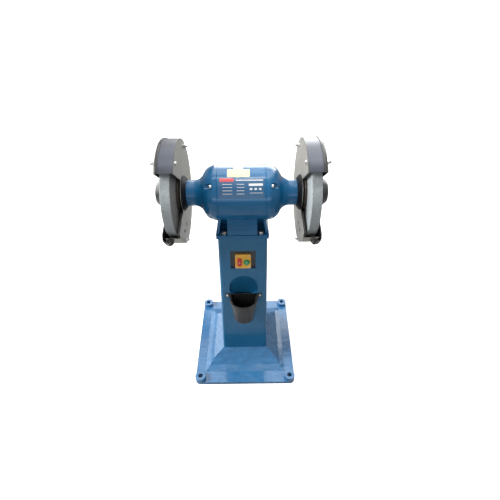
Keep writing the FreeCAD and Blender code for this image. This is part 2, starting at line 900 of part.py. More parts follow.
def make_rear_cover():
    lap, thickness = d.rear_cover_lap, d.rear_cover_thickness
    sheet_x = around_zero(d.rear_window_x + lap)
    cover = box(sheet_x, (-thickness, as_size(0)), (-lap, d.rear_window_height + lap))
    cover = round_edges(cover, lap / 2, is_along_y)
    y = (-thickness - BEYOND, as_size(BEYOND))
    holes = [pin(d.rear_screw_radius + d.screw_gap, y, x, z) for x, z in rear_screw_places()]
    node("rear_cover", mirror(on_front_face(cut(cover, *holes), d.rear_window_z), Y_AXIS))
    screws = []
    for x, z in rear_screw_places():
        head = pin(d.rear_screw_head, (-thickness - d.rear_screw_head_height, -thickness), x, z)
        shank = pin(d.rear_screw_radius, (-thickness, d.rear_screw_length - thickness), x, z)
        screws.append(fuse(head, shank))
    node("rear_cover_screws", mirror(on_front_face(group(*screws), d.rear_window_z), Y_AXIS))


def make_gland():
    hex_front, tail_end = -d.gland_hex_depth, d.column_wall + d.gland_tail
    dome_front = hex_front - d.gland_dome_depth
    body = place(hexagon(d.gland_hex, d.gland_hex_depth), 0, hex_front, 0, ALONG_BACK)
    dome = doc.addObject("Part::Cone", "Dome")
    bind(dome, Radius1=d.gland_dome_tip, Radius2=d.gland_dome_foot, Height=d.gland_dome_depth)
    place(dome, 0, dome_front, 0, ALONG_BACK)
    tail = pin(d.gland_thread, (as_size(0), tail_end))
    nut = place(hexagon(d.gland_hex, d.gland_tail / 2), 0, d.column_wall, 0, ALONG_BACK)
    bore = pin(d.gland_bore, (dome_front - BEYOND, tail_end + BEYOND))
    gland = cut(fuse(body, dome, tail, nut), bore)
    node("cable_gland", mirror(on_front_face(gland, d.gland_z), Y_AXIS))


# ---- motor frame ----------------------------------------------------------------------------

def foot_top():
    return d.column_head_z + d.foot_thickness


def make_stator_housing():
    front, step, neck, top = d.saddle_front, d.saddle_step_z, d.saddle_neck_y, d.saddle_top_y
    saddle_top = d.axis_z - root(d.stator_radius * d.stator_radius - top * top) + d.saddle_sink
    saddle_outline = [
        (-front, d.column_head_z), (front, d.column_head_z), (front, step), (neck, d.saddle_neck_z),
        (top, saddle_top), (-top, saddle_top), (-neck, d.saddle_neck_z), (-front, step),
    ]
    saddle = slab_along_x(around_zero(d.saddle_x), saddle_outline)
    saddle = round_edges(saddle, d.saddle_step_round, is_saddle_step)
    rib_low = foot_top() - d.rib_sink
    rib = slab_along_y(around_zero(d.rib_front), [
        (d.rib_foot_x, rib_low), (d.rib_foot_x + d.rib_thickness, rib_low),
        (d.rib_top_x + d.rib_thickness, d.rib_top_z), (d.rib_top_x, d.rib_top_z),
    ])
    bell_room = rod(d.stator_radius + d.rib_gap, (d.stator_half, d.stator_half + BEYOND))
    right_rib = cut(rib, bell_room)
    web_foot, web_top = d.rib_foot_x + d.rib_sink, d.rib_top_x + d.rib_sink
    web = slab_along_y(around_zero(d.web_half), [
        (-web_foot, rib_low), (web_foot, rib_low), (web_top, d.rib_top_z), (-web_top, d.rib_top_z),
    ])
    plate = box(around_zero(d.foot_x), around_zero(d.foot_y), (d.column_head_z, foot_top()))
    plate = round_edges(plate, d.foot_corner, is_upright)
    half, radius, chamfer = d.stator_half, d.stator_radius, d.seam_chamfer
    barrel = turned([
        (-half, 0), (half, 0), (half, radius - chamfer), (half - chamfer, radius),
        (chamfer - half, radius), (-half, radius - chamfer),
    ])
    frame = fuse(barrel, saddle, plate, web, right_rib, mirror(right_rib))
    bore = rod(d.stator_bore, around_zero(d.stator_half + BEYOND))
    down = (d.column_head_z - BEYOND, d.axis_z)
    holes = [post(d.lead_hole_radius, down)]
    bolt_z = (d.column_head_z - BEYOND, foot_top() + PAST)
    for x, y in four_corners(d.foot_bolt_x, d.foot_bolt_y):
        holes.append(post(d.foot_bolt_radius + d.screw_gap, bolt_z, x, y))
    tapped_x, tapped = (half - d.bell_rim_depth, half), d.bell_bolt_radius + d.thread_fit
    right_tapped = group(*[rod(tapped, tapped_x, y, z) for y, z in bell_bolt_places()])
    node("stator_housing", cut(frame, bore, *holes, right_tapped, mirror(right_tapped)))


def is_saddle_step(edge):
    start, end = edge.Vertexes[0].Point, edge.Vertexes[-1].Point
    along_x = abs(end.x - start.x) > 0.99 * edge.Length
    return along_x and abs(start.z - d.saddle_step_z.number) < 0.1


def make_foot_bolts():
    washers, bolts = [], []
    washer_top = foot_top() + d.washer_thickness
    for x, y in four_corners(d.foot_bolt_x, d.foot_bolt_y):
        height = (foot_top(), washer_top)
        hole = post(d.foot_bolt_radius + d.screw_gap, height, x, y)
        washers.append(cut(post(d.washer_radius, height, x, y), hole))
        head = place(hexagon(d.foot_bolt_hex, d.foot_bolt_head), x, y, washer_top)
        shank = post(d.foot_bolt_radius, (washer_top - d.foot_bolt_length, washer_top), x, y)
        bolts.append(fuse(head, shank))
    node("motor_foot_washers", group(*washers))
    node("motor_foot_bolts", group(*bolts))


def bell_bolt_places():
    angle = d.bell_bolt_angle
    return [polar(d.bell_bolt_offset, turn) for turn in (angle, -angle, 180 - angle, 180 + angle)]


def make_end_bells():
    start = d.stator_half
    dome_x = start + d.bell_land
    dome_y = d.stator_radius - d.dome_radius
    blend_y = d.neck_radius + d.neck_blend
    reach = d.dome_radius + d.neck_blend
    rise_between = blend_y - dome_y
    blend_x = dome_x + root(reach * reach - rise_between * rise_between)
    meet_x = dome_x + (blend_x - dome_x) * d.dome_radius / reach
    meet_y = dome_y + rise_between * d.dome_radius / reach
    rim_x = start + d.bell_rim_depth
    seat_end = d.seat_start + d.bearing_width
    relief_end = seat_end + d.seat_relief_depth
    outline = [
        (start, d.bell_bore), (rim_x, d.bell_bore - d.bell_bore_taper),
        (d.seat_start - d.seat_lead, d.bearing_outer + d.seat_flare),
        (d.seat_start - d.seat_lip, d.bearing_outer), (seat_end, d.bearing_outer), (seat_end, d.seat_relief),
        (relief_end, d.seat_relief), (relief_end, d.shaft_hole),
        (d.neck_end, d.shaft_hole), (d.neck_end, d.neck_radius), (blend_x, d.neck_radius),
        (meet_x, meet_y, -d.neck_blend), (dome_x, d.stator_radius, d.dome_radius),
        (start + d.seam_chamfer, d.stator_radius), (start, d.stator_radius - d.seam_chamfer),
    ]
    casting = turned(outline)
    pocket_x, hole_x = (rim_x, rim_x + d.pocket_length), (start - BEYOND, rim_x + BEYOND)
    hole_radius = d.bell_bolt_radius + d.screw_gap
    pockets = [rod(d.pocket_radius, pocket_x, y, z) for y, z in bell_bolt_places()]
    holes = [rod(hole_radius, hole_x, y, z) for y, z in bell_bolt_places()]
    tapped = [guard_screw_rod(d.guard_screw_radius + d.thread_fit, d.neck_end + BEYOND)]
    both_sides("end_bell", cut(casting, *pockets, *holes, *tapped))


def make_bell_bolts():
    head_x = d.stator_half + d.bell_rim_depth
    bolts = []
    for y, z in bell_bolt_places():
        head = rod(d.bell_bolt_head_radius, (head_x, head_x + d.bell_bolt_head), y, z)
        shank = rod(d.bell_bolt_radius, (head_x - d.bell_bolt_length, head_x), y, z)
        bolts.append(fuse(head, shank))
    right = group(*bolts)
    node("end_bell_bolts", group(right, mirror(right)))


def make_windings():
    node("stator_core", tube(d.stator_core_bore, d.stator_bore, around_zero(d.core_half)))
    coil = tube(d.winding_inner, d.winding_outer, (d.core_half, d.core_half + d.winding_length))
    node("stator_windings", group(coil, mirror(coil)))


def make_data_plate():
    sector = rod(d.stator_radius + d.data_thickness, around_zero(d.data_x))
    bind(sector, Angle=d.data_sweep)
    sector.Placement = FreeCAD.Placement(ORIGIN, ALONG_X)
    plate = group(sector)
    turn = FreeCAD.Rotation(X_AXIS, -1)
    place(plate, z=d.axis_z, turn=turn)
    bind(sector, **{"Placement.Base.z": as_size(0)})
    # the sector starts at -Z and sweeps towards +Y, so it is turned to start below the front horizontal
    plate.setExpression("Placement.Rotation.Angle", (-(90 + d.data_low_angle + d.data_sweep)).text)
    core = rod(d.stator_radius, around_zero(d.data_x + PAST))
    node("data_plate", cut(plate, core))


# ---- rotor ----------------------------------------------------------------------------------

def inner_flange_x():
    """Where the inner wheel flange sits on the spindle, and the face that grips the wheel."""
    grip = d.wheel_inner_x - d.blotter_thickness
    return grip - d.flange_thickness, grip


def wheel_outer_x():
    return d.wheel_inner_x + d.wheel_thickness


def outer_flange_x():
    grip = wheel_outer_x() + d.blotter_thickness
    return grip, grip + d.flange_thickness


def spindle_end():
    return outer_flange_x()[1] + d.nut_height + d.thread_tail


def make_spindle():
    flange_start, _ = inner_flange_x()
    thread_start = outer_flange_x()[1] - d.wheel_seat_setback
    seat_end, end = d.seat_start + d.bearing_width, spindle_end()
    half = [
        (d.spindle_shoulder, d.spindle_middle), (d.spindle_shoulder, d.spindle_inner),
        (d.seat_start, d.spindle_inner), (d.seat_start, d.bearing_bore), (seat_end, d.bearing_bore),
        (seat_end, d.spindle_neck), (flange_start, d.spindle_neck), (flange_start, d.wheel_seat),
        (thread_start, d.wheel_seat), (thread_start, d.thread_radius),
        (end - d.spindle_chamfer, d.thread_radius), (end, d.thread_radius - d.spindle_chamfer),
        (end, as_size(0)),
    ]
    left = [(-x, radius) for x, radius in reversed(half)]
    node("spindle", turned(left + half))


def make_rotor_core():
    core_x = around_zero(d.core_half)
    node("rotor_core", tube(d.spindle_middle, d.stator_core_bore - d.air_gap, core_x))
    ring = tube(d.cage_ring_inner, d.cage_ring_outer, (d.core_half, d.core_half + d.cage_ring_length))
    node("rotor_end_rings", group(ring, mirror(ring)))


def ball_angles():
    return [360 * i / d.ball_count for i in range(int(d.ball_count.number))]


def make_balls(middle):
    balls = []
    for angle in ball_angles():
        y, z = polar(d.ball_offset, angle)
        ball = bind(doc.addObject("Part::Sphere", "Ball"), Radius=d.ball_radius)
        balls.append(place(ball, middle, y, d.axis_z + z))
    return balls


def make_ball_pockets(middle):
    """Radial holes through the cage, one for each ball."""
    pockets = []
    for angle in ball_angles():
        pocket = doc.addObject("Part::Cylinder", "Pocket")
        bind(pocket, Radius=d.ball_radius + d.ball_gap, Height=d.cage_outer + PAST)
        place(pocket, middle, 0, d.axis_z, FreeCAD.Rotation(X_AXIS, 90))
        pocket.setExpression("Placement.Rotation.Angle", (90 - angle).text)
        pockets.append(pocket)
    return pockets


def make_bearings():
    x = (d.seat_start, d.seat_start + d.bearing_width)
    middle = d.seat_start + d.bearing_width / 2
    race = doc.addObject("Part::Torus", "Race")
    bind(race, Radius1=d.ball_offset, Radius2=d.ball_radius + d.ball_gap)
    place(race, middle, 0, d.axis_z, ALONG_X)
    both_sides("bearing_outer_ring", cut(tube(d.outer_land, d.bearing_outer, x), race))
    both_sides("bearing_inner_ring", cut(tube(d.bearing_bore, d.inner_land, x), race))
    both_sides("bearing_balls", group(*make_balls(middle)))
    cage_x = (middle - d.cage_width / 2, middle + d.cage_width / 2)
    cage = tube(d.cage_inner, d.cage_outer, cage_x)
    both_sides("bearing_cage", cut(cage, *make_ball_pockets(middle)))


def make_wheels():
    start, grip = inner_flange_x()
    hub = d.wheel_bore - d.hub_fit
    relief = grip - d.flange_relief_depth
    hub_end = d.wheel_inner_x + d.hub_length
    both_sides("inner_flange", turned([
        (start, d.wheel_seat), (hub_end, d.wheel_seat), (hub_end, hub), (relief, hub),
        (relief, d.flange_relief), (grip, d.flange_relief), (grip, d.flange_radius),
        (start + d.flange_bevel, d.flange_radius), (start, d.flange_radius - d.flange_bevel),
    ]))
    inner, outer, edge = d.wheel_inner_x, wheel_outer_x(), d.wheel_edge
    both_sides("grinding_wheel", turned([
        (inner, d.wheel_bore), (outer, d.wheel_bore), (outer, d.wheel_radius - edge),
        (outer - edge, d.wheel_radius), (inner + edge, d.wheel_radius), (inner, d.wheel_radius - edge),
    ]))
    inside = tube(d.flange_relief, d.blotter_radius, (grip, d.wheel_inner_x))
    outside = tube(d.flange_relief, d.blotter_radius, (outer, outer_flange_x()[0]))
    both_sides("paper_blotters", group(inside, outside))
    near, far = outer_flange_x()
    both_sides("outer_flange", turned([
        (near + d.flange_relief_depth, d.wheel_seat), (far, d.wheel_seat),
        (far, d.flange_radius - d.flange_bevel), (far - d.flange_bevel, d.flange_radius),
        (near, d.flange_radius), (near, d.flange_relief), (near + d.flange_relief_depth, d.flange_relief),
    ]))
    nut = place(hexagon(d.nut_hex, d.nut_height), far, 0, d.axis_z, ALONG_X)
    both_sides("spindle_nut", cut(nut, rod(d.thread_radius, (far - PAST, far + d.nut_height + PAST))))


# ---- guards ---------------------------------------------------------------------------------

def guard_x():
    """X of the flange's outer face, where the guard plate sits, and of the guard's open side."""
    return d.neck_end + d.guard_flange_thickness, wheel_outer_x() + d.wheel_side_gap


def guard_radius():
    return d.wheel_radius + d.wheel_rim_gap + d.band_thickness


def guard_screw_places():
    turns = [360 * i / d.guard_screw_count for i in range(int(d.guard_screw_count.number))]
    return [polar(d.guard_screw_offset, d.guard_screw_angle + turn) for turn in turns]


def guard_screw_rod(radius, end):
    start = guard_x()[0] + d.plate_thickness - d.guard_screw_length
    return group(*[rod(radius, (start, end), y, z) for y, z in guard_screw_places()])


def make_guard_flange():
    start, end, rim = d.neck_end, guard_x()[0], d.guard_flange_rim
    disc = turned([
        (start, d.guard_flange_bore), (end, d.guard_flange_bore), (end, d.guard_flange_radius),
        (end - rim, d.guard_flange_radius), (start, d.neck_radius + d.guard_flange_lip),
    ])
    both_sides("guard_flange", cut(disc, guard_screw_rod(d.guard_screw_radius + d.screw_gap, end + BEYOND)))


def make_guard_screws():
    seat = guard_x()[0] + d.plate_thickness
    screws = []
    for y, z in guard_screw_places():
        head = rod(d.guard_screw_head, (seat, seat + d.guard_screw_head_height), y, z)
        shank = rod(d.guard_screw_radius, (seat - d.guard_screw_length, seat), y, z)
        screws.append(fuse(head, shank))
    right = group(*screws)
    node("guard_flange_screws", group(right, mirror(right)))


def along(start, end, distance):
    """The point at a distance from start towards end."""
    step_y, step_z = end[0] - start[0], end[1] - start[1]
    length = root(step_y * step_y + step_z * step_z)
    return start[0] + step_y * distance / length, start[1] + step_z * distance / length


def beside(start, end, point, offset):
    """A point moved square to the run from start to end, to its left when the offset is positive."""
    step_y, step_z = end[0] - start[0], end[1] - start[1]
    length = root(step_y * step_y + step_z * step_z)
    return point[0] - step_z * offset / length, point[1] + step_y * offset / length


def flat_point(depth, lead):
    """A point so far inside the flat, led forward along it from the foot of the flat's normal."""
    foot_y, foot_z = polar(guard_radius() - d.flat_inset - depth, -d.flat_angle)
    return foot_y - lead * sine(d.flat_angle), foot_z + lead * cosine(d.flat_angle)


def mouth_points():
    """The corners of the guard's mouth: band end, hub top, hub bottom, cheek tip and lower front corner."""
    hub = d.guard_hub + d.mouth_step
    band_end = polar(guard_radius(), d.mouth_angle)
    hub_top, hub_low = polar(hub, d.mouth_top_angle), polar(hub, -d.mouth_low_angle)
    tip = polar(guard_radius() - d.cheek_tip_inset, -d.cheek_tip_angle)
    return band_end, hub_top, hub_low, tip, flat_point(0, d.flat_lead)


def mouth_cutter(x, low):
    """Cuts the mouth open. Its lower edge runs from the cheek's tip through a low point."""
    band_end, hub_top, hub_low, tip, _ = mouth_points()
    out = guard_radius() + BEYOND
    above, below = along(hub_top, band_end, out), along(tip, low, out / 2)
    outline = [above, hub_top, hub_low, tip, below, (-out, below[1]), (-out, above[1])]
    return slab_along_x(x, outline, z=d.axis_z)


def guard_form(shrink, x):
    """The guard's full round, cut straight along its flat."""
    side, outside = guard_radius(), -guard_radius() / 2
    flat = [flat_point(depth, lead) for depth, lead in (
        (shrink, side), (outside, side), (outside, -side), (shrink, -side))]
    flat_x = (x[0] - PAST, x[1] + PAST)
    return cut(rod(guard_radius() - shrink, x), slab_along_x(flat_x, flat, z=d.axis_z))


def tie_places():
    """The front, rear and low through bolts, just outside the wheel."""
    offset = d.wheel_radius + d.tie_gap + d.tie_radius
    return [polar(offset, angle) for angle in (d.tie_front_angle, d.tie_rear_angle, d.tie_low_angle)]


def on_tab(piece):
    """Carry a piece made about the origin onto the tab's face, local Y pointing in to the wheel."""
    *_, tip, corner = mouth_points()
    y, z = along(corner, tip, d.rest_bolt_height)
    place(piece, guard_x()[0] + d.rest_bolt_x, y, d.axis_z + z, FreeCAD.Rotation(X_AXIS, 1))
    tab_lean = arctangent((corner[0] - tip[0]) / (tip[1] - corner[1]))
    piece.setExpression("Placement.Rotation.Angle", tab_lean.text)
    return piece


def make_guard_body():
    start, end = guard_x()
    *_, tip, corner = mouth_points()
    plate_x, band_x = (start, start + d.plate_thickness), (start, end - cover_inner_round())
    past = (start - PAST, end + PAST)
    cheek = cut(guard_form(as_size(0), plate_x), mouth_cutter(past, corner))
    ring = cut(guard_form(as_size(0), band_x), guard_form(d.band_thickness, past))
    band = cut(ring, mouth_cutter(past, corner))
    tab_top = along(corner, tip, d.tab_height)
    inner_top = beside(corner, tip, tab_top, -d.band_thickness)
    inner_foot = beside(corner, tip, corner, -d.band_thickness)
    tab = slab_along_x(band_x, [corner, inner_foot, inner_top, tab_top], z=d.axis_z)
    plate_hole_x = (start - PAST, plate_x[1] + PAST)
    holes = [rod(d.tie_radius + d.screw_gap, plate_hole_x, y, z) for y, z in tie_places()]
    for y in (-d.rest_hole_near_y, -d.rest_hole_near_y - d.rest_hole_span):
        holes.append(rod(d.rest_hole_radius, plate_hole_x, y, -d.rest_hole_z))
    holes.append(rod(d.guard_flange_bore, plate_hole_x))
    holes.append(guard_screw_rod(d.guard_screw_radius + d.screw_gap, end))
    bolt_hole = pin(d.rest_bolt_radius + d.screw_gap, (as_size(-PAST), d.band_thickness + PAST))
    holes.append(on_tab(group(bolt_hole)))
    both_sides("guard_body", cut(fuse(cheek, rod(d.guard_hub, plate_x), band, tab), *holes))


def make_edge_strips():
    band_end, hub_top, hub_low, tip, corner = mouth_points()
    start = guard_x()[0] + d.plate_thickness
    x = (start, start + d.strip_depth)
    thick = d.strip_thickness
    upper_in = along(hub_top, band_end, d.strip_end_gap)
    upper_out = along(band_end, hub_top, d.band_thickness * 2)
    upper_rear = [beside(band_end, hub_top, point, thick) for point in (upper_out, upper_in)]
    upper = [upper_in, upper_out, *upper_rear]
    low_in = along(hub_low, tip, d.strip_end_gap)
    low_end = along(corner, tip, d.tab_height + d.band_thickness)
    inner_tip = (tip[0] + thick, tip[1] - thick)
    low_rear = [beside(tip, corner, low_end, thick), inner_tip, beside(hub_low, tip, low_in, thick)]
    lower = [low_in, tip, low_end, *low_rear]
    strips = [slab_along_x(x, outline, z=d.axis_z) for outline in (upper, lower)]
    both_sides("guard_edge_strips", group(*strips))


def cover_inner_round():
    return d.cover_round - d.cover_sheet


def dome_corners(inset):
    """The dome's foot, the two ends of its rounded edge and that edge's radius, inside its outer skin."""
    face = guard_x()[1] + d.cover_sheet
    dome_end = spindle_end() + d.dome_gap + d.cover_sheet
    fall, run = d.dome_base - d.dome_top, dome_end - face
    ratio = (root(fall * fall + run * run) - fall) / run
    edge = d.dome_edge - inset
    foot = (face - inset, d.dome_base - inset * ratio)
    crown = (dome_end - inset, d.dome_top - inset * ratio)
    return foot, along(crown, foot, edge * ratio), (crown[0], crown[1] - edge * ratio), edge


def make_guard_cover():
    end, inside = guard_x()[1], guard_radius() + d.cover_fit
    lip, face, outside = end - d.cover_lip, end + d.cover_sheet, inside + d.cover_sheet
    outer, inner = d.cover_round, cover_inner_round()
    skin_foot, skin_slope, skin_crown, skin_edge = dome_corners(as_size(0))
    foot, slope, crown, edge = dome_corners(d.cover_sheet)
    pressing = turned([
        (lip, inside), (end - inner, inside), (end, inside - inner, -inner), foot, slope, (*crown, -edge),
        (crown[0], 0), (skin_crown[0], 0), skin_crown, (*skin_slope, skin_edge), skin_foot,
        (face, outside - outer), (face - outer, outside, outer), (lip, outside),
    ])
    cut_x = (lip - PAST, face + PAST)
    mouth = mouth_cutter(cut_x, polar(outside, -d.cover_low_angle))
    mouth = cut(mouth, rod(d.cover_hub, (lip - BEYOND, face + BEYOND)))
    holes = [rod(d.tie_radius + d.screw_gap, (end - PAST, face + PAST), y, z) for y, z in tie_places()]
    both_sides("guard_cover", cut(pressing, mouth, *holes))


def tie_bolt(y, z, seat, far, points):
    """A through bolt and its nut. The head sits on seat and points to +X or -X, the nut sits on far."""
    head_x = seat if points > 0 else seat - d.tie_head
    nut_x = far - d.tie_nut if points > 0 else far
    shank_x = (nut_x - d.tie_tail, seat) if points > 0 else (seat, nut_x + d.tie_nut + d.tie_tail)
    head = place(hexagon(d.tie_hex, d.tie_head), head_x, y, d.axis_z + z, ALONG_X)
    nut = place(hexagon(d.tie_hex, d.tie_nut), nut_x, y, d.axis_z + z, ALONG_X)
    thread = rod(d.tie_radius + d.thread_fit, (nut_x - PAST, nut_x + d.tie_nut + PAST), y, z)
    return fuse(head, rod(d.tie_radius, shank_x, y, z)), cut(nut, thread)


def make_tie_bolts():
    start, face = guard_x()[0], guard_x()[1] + d.cover_sheet
    front, *others = tie_places()
    pairs = [tie_bolt(*front, start, face, -1)] + [tie_bolt(*spot, face, start, 1) for spot in others]
    for name, pieces in zip(("guard_tie_bolts", "guard_tie_nuts"), zip(*pairs)):
        right = group(*pieces)
        node(name, group(right, mirror(right)))


def make_rest_bolts():
    nut_y = -d.rest_bolt_nut
    head = place(hexagon(d.rest_bolt_hex, d.rest_bolt_head), 0, d.band_thickness, 0, ALONG_BACK)
    shank = pin(d.rest_bolt_radius, (nut_y - d.rest_bolt_tail, d.band_thickness))
    nut = place(hexagon(d.rest_bolt_hex, d.rest_bolt_nut), 0, nut_y, 0, ALONG_BACK)
    thread = pin(d.rest_bolt_radius + d.thread_fit, (nut_y - PAST, as_size(PAST)))
    for name, piece in (("tool_rest_bolts", fuse(head, shank)), ("tool_rest_nuts", cut(nut, thread))):
        right = on_tab(group(piece))
        node(name, group(right, mirror(right)))


# ---- build, check and write -----------------------------------------------------------------

def check_and_write():
    doc.recompute()
    for item in doc.Objects:
        if "Invalid" in item.State or "Error" in item.State:
            raise RuntimeError(f"{item.Name} ({item.Label}) failed: {item.State}")
    for piece in nodes:
        if piece.Shape.isNull() or not piece.Shape.isValid():
            raise RuntimeError(f"{piece.Label} has no valid shape")
    os.makedirs("parts", exist_ok=True)
    for piece in nodes:
        piece.Shape.exportStep(f"parts/{piece.Label}.step")
        print(f"{piece.Label:24s} solids {len(piece.Shape.Solids):2d}  {piece.Shape.Volume / 1000:9.2f} cm3")
    print(len(nodes), "nodes")


make_base()
make_anchor_bolts()
make_column()
make_pot()
make_pot_screws()
make_switch()
make_rear_cover()
make_gland()
make_stator_housing()
make_foot_bolts()
make_end_bells()
make_bell_bolts()
make_windings()
make_data_plate()
make_spindle()
make_rotor_core()
make_bearings()
make_wheels()
make_guard_flange()
make_guard_screws()
make_guard_body()
make_edge_strips()
make_guard_cover()
make_tie_bolts()
make_rest_bolts()
check_and_write()
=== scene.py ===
import math

import bmesh
import bpy
import numpy as np
from mathutils import Matrix, Vector


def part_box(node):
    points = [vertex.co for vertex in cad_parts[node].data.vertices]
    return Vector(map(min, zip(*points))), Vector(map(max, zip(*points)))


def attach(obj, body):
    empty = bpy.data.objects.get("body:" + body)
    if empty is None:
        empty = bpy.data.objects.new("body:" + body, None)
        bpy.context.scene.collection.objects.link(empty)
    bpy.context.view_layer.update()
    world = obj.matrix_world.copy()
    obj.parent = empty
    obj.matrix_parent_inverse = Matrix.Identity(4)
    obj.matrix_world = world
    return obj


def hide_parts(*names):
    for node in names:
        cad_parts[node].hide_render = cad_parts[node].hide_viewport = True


# The looks of a pedestal grinder: finishes for every casting and sheet, and finer fasteners, buttons
# and printing in place of the plain solids. Metres, in the frame's own axes.

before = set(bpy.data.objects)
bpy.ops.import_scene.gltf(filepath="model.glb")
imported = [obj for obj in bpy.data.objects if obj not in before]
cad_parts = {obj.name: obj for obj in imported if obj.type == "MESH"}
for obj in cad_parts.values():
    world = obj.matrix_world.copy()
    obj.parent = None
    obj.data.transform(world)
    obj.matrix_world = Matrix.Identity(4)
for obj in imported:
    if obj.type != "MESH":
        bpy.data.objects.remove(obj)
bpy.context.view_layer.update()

MM = 0.001
UP = Vector((0, 0, 1))
SPINDLE = Vector((1, 0, 0))


# ---- places read from the frame ---------------------------------------------------------------

def node_points(node):
    """The node's mesh points, as an array."""
    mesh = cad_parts[node].data
    points = np.empty(len(mesh.vertices) * 3)
    mesh.vertices.foreach_get("co", points)
    return points.reshape(-1, 3)


def solids(node):
    """The points of each separate solid in a node, from left to right."""
    work = bmesh.new()
    work.from_mesh(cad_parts[node].data)
    bmesh.ops.remove_doubles(work, verts=work.verts, dist=0.001 * MM)
    found, groups = set(), []
    for start in work.verts:
        if start.index in found:
            continue
        found.add(start.index)
        group, reach = [], [start]
        while reach:
            vert = reach.pop()
            group.append(vert.co.copy())
            for edge in vert.link_edges:
                other = edge.other_vert(vert)
                if other.index not in found:
                    found.add(other.index)
                    reach.append(other)
        groups.append(np.array(group))
    work.free()
    return sorted(groups, key=lambda group: tuple(group.mean(axis=0).round(4)))


def middle(node):
    low, high = (Vector(corner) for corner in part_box(node))
    return (low + high) / 2


BARREL = Vector(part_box("stator_housing")[1])
AXIS_Z = middle("spindle").z
BARREL_RADIUS = BARREL.z - AXIS_Z
PLATE_LOW, PLATE_HIGH = (Vector(corner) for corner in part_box("data_plate"))
COLUMN_FOOT_Y, COLUMN_FOOT_Z = 99, 71
COLUMN_HEAD_Y, COLUMN_HEAD_Z = 75.5, 652
FACE_LEAN = math.atan((COLUMN_FOOT_Y - COLUMN_HEAD_Y) / (COLUMN_HEAD_Z - COLUMN_FOOT_Z))
INTO_COLUMN = Vector((0, math.cos(FACE_LEAN), -math.sin(FACE_LEAN)))
OUT_OF_BACK = Vector((0, math.cos(FACE_LEAN), math.sin(FACE_LEAN)))
TAB_LEAN = math.radians(8.8)
OUT_OF_TAB = Vector((0, -math.cos(TAB_LEAN), -math.sin(TAB_LEAN)))
REST_HOLES_Y = (-22 * MM, -67 * MM)
REST_HOLES_DROP = 112 * MM


# ---- node trees -------------------------------------------------------------------------------

class Graph:
    """Adds nodes to a tree, sets their values and links them by socket name."""

    def __init__(self, tree):
        self.tree = tree
        tree.nodes.clear()

    def add(self, kind, inputs=None, **settings):
        node = self.tree.nodes.new(kind)
        for name, value in settings.items():
            setattr(node, name, value)
        for name, value in (inputs or {}).items():
            self.feed(node, name, value)
        return node

    def feed(self, node, name, value):
        socket = node.inputs[name]
        if isinstance(value, bpy.types.NodeSocket):
            self.tree.links.new(value, socket)
        else:
            socket.default_value = value

    def math(self, operation, first, second=0.0, clamp=False):
        node = self.add("ShaderNodeMath", {0: first, 1: second}, operation=operation, use_clamp=clamp)
        return node.outputs[0]

    def ramp(self, value, low, high):
        """Zero below low, one above high, smooth between them."""
        node = self.add("ShaderNodeMapRange", {"Value": value, "From Min": low, "From Max": high})
        node.interpolation_type = "SMOOTHSTEP"
        return node.outputs["Result"]

    def noise(self, where, scale, detail=3.0, roughness=0.55):
        values = {"Vector": where, "Scale": scale, "Detail": detail, "Roughness": roughness}
        return self.add("ShaderNodeTexNoise", values).outputs["Fac"]

    def mix(self, amount, first, second):
        node = self.add("ShaderNodeMix", data_type="RGBA")
        self.feed(node, 0, amount)
        self.feed(node, 6, first)
        self.feed(node, 7, second)
        return node.outputs[2]

    def stretched(self, where, scale):
        node = self.add("ShaderNodeVectorMath", {0: where, 1: scale}, operation="MULTIPLY")
        return node.outputs[0]


def group_tree(name, kind, inputs, outputs):
    """A node group with named sockets. Inputs are (name, type, default)."""
    tree = bpy.data.node_groups.new(name, kind)
    for label, socket_type, default in inputs:
        socket = tree.interface.new_socket(name=label, in_out="INPUT", socket_type=socket_type)
        if default is not None:
            socket.default_value = default
    for label, socket_type in outputs:
        tree.interface.new_socket(name=label, in_out="OUTPUT", socket_type=socket_type)
    graph = Graph(tree)
    source = graph.add("NodeGroupInput")
    result = graph.add("NodeGroupOutput")
    return tree, graph, source.outputs, result


FLOAT, COLOR, VECTOR = "NodeSocketFloat", "NodeSocketColor", "NodeSocketVector"


def edge_wear_group():
    """A mask of the rubbed corners of a solid, broken up by noise."""
    inputs = [("Width", FLOAT, 0.002), ("Amount", FLOAT, 0.5), ("Patch Scale", FLOAT, 60.0)]
    tree, graph, given, result = group_tree("Edge wear", "ShaderNodeTree", inputs, [("Mask", FLOAT)])
    inside = graph.add("ShaderNodeAmbientOcclusion", {"Distance": given["Width"]}, inside=True,
                       only_local=True)
    inside.samples = 8
    corner = graph.math("SUBTRACT", 1.0, inside.outputs["AO"])
    where = graph.add("ShaderNodeTexCoord").outputs["Object"]
    patches = graph.noise(where, given["Patch Scale"], 5.0, 0.7)
    rubbed = graph.math("ADD", corner, graph.math("SUBTRACT", patches, 1.0))
    mask = graph.ramp(rubbed, 0.02, 0.12)
    graph.feed(result, "Mask", graph.math("MULTIPLY", mask, given["Amount"]))
    return tree


def crevice_shade_and_grime_group():
    """A mask of painted shade and dirt in the corners: ambient occlusion, broken up by noise."""
    inputs = [("Reach", FLOAT, 0.02), ("Amount", FLOAT, 0.5)]
    tree, graph, given, result = group_tree("Crevice grime", "ShaderNodeTree", inputs, [("Mask", FLOAT)])
    shade = graph.add("ShaderNodeAmbientOcclusion", {"Distance": given["Reach"]})
    shade.samples = 8
    hollow = graph.ramp(graph.math("SUBTRACT", 1.0, shade.outputs["AO"]), 0.25, 0.9)
    where = graph.add("ShaderNodeTexCoord").outputs["Object"]
    broken = graph.math("ADD", graph.noise(where, 35.0, 4.0, 0.6), 0.4)
    mask = graph.math("MULTIPLY", hollow, broken, clamp=True)
    graph.feed(result, "Mask", graph.math("MULTIPLY", mask, given["Amount"]))
    return tree


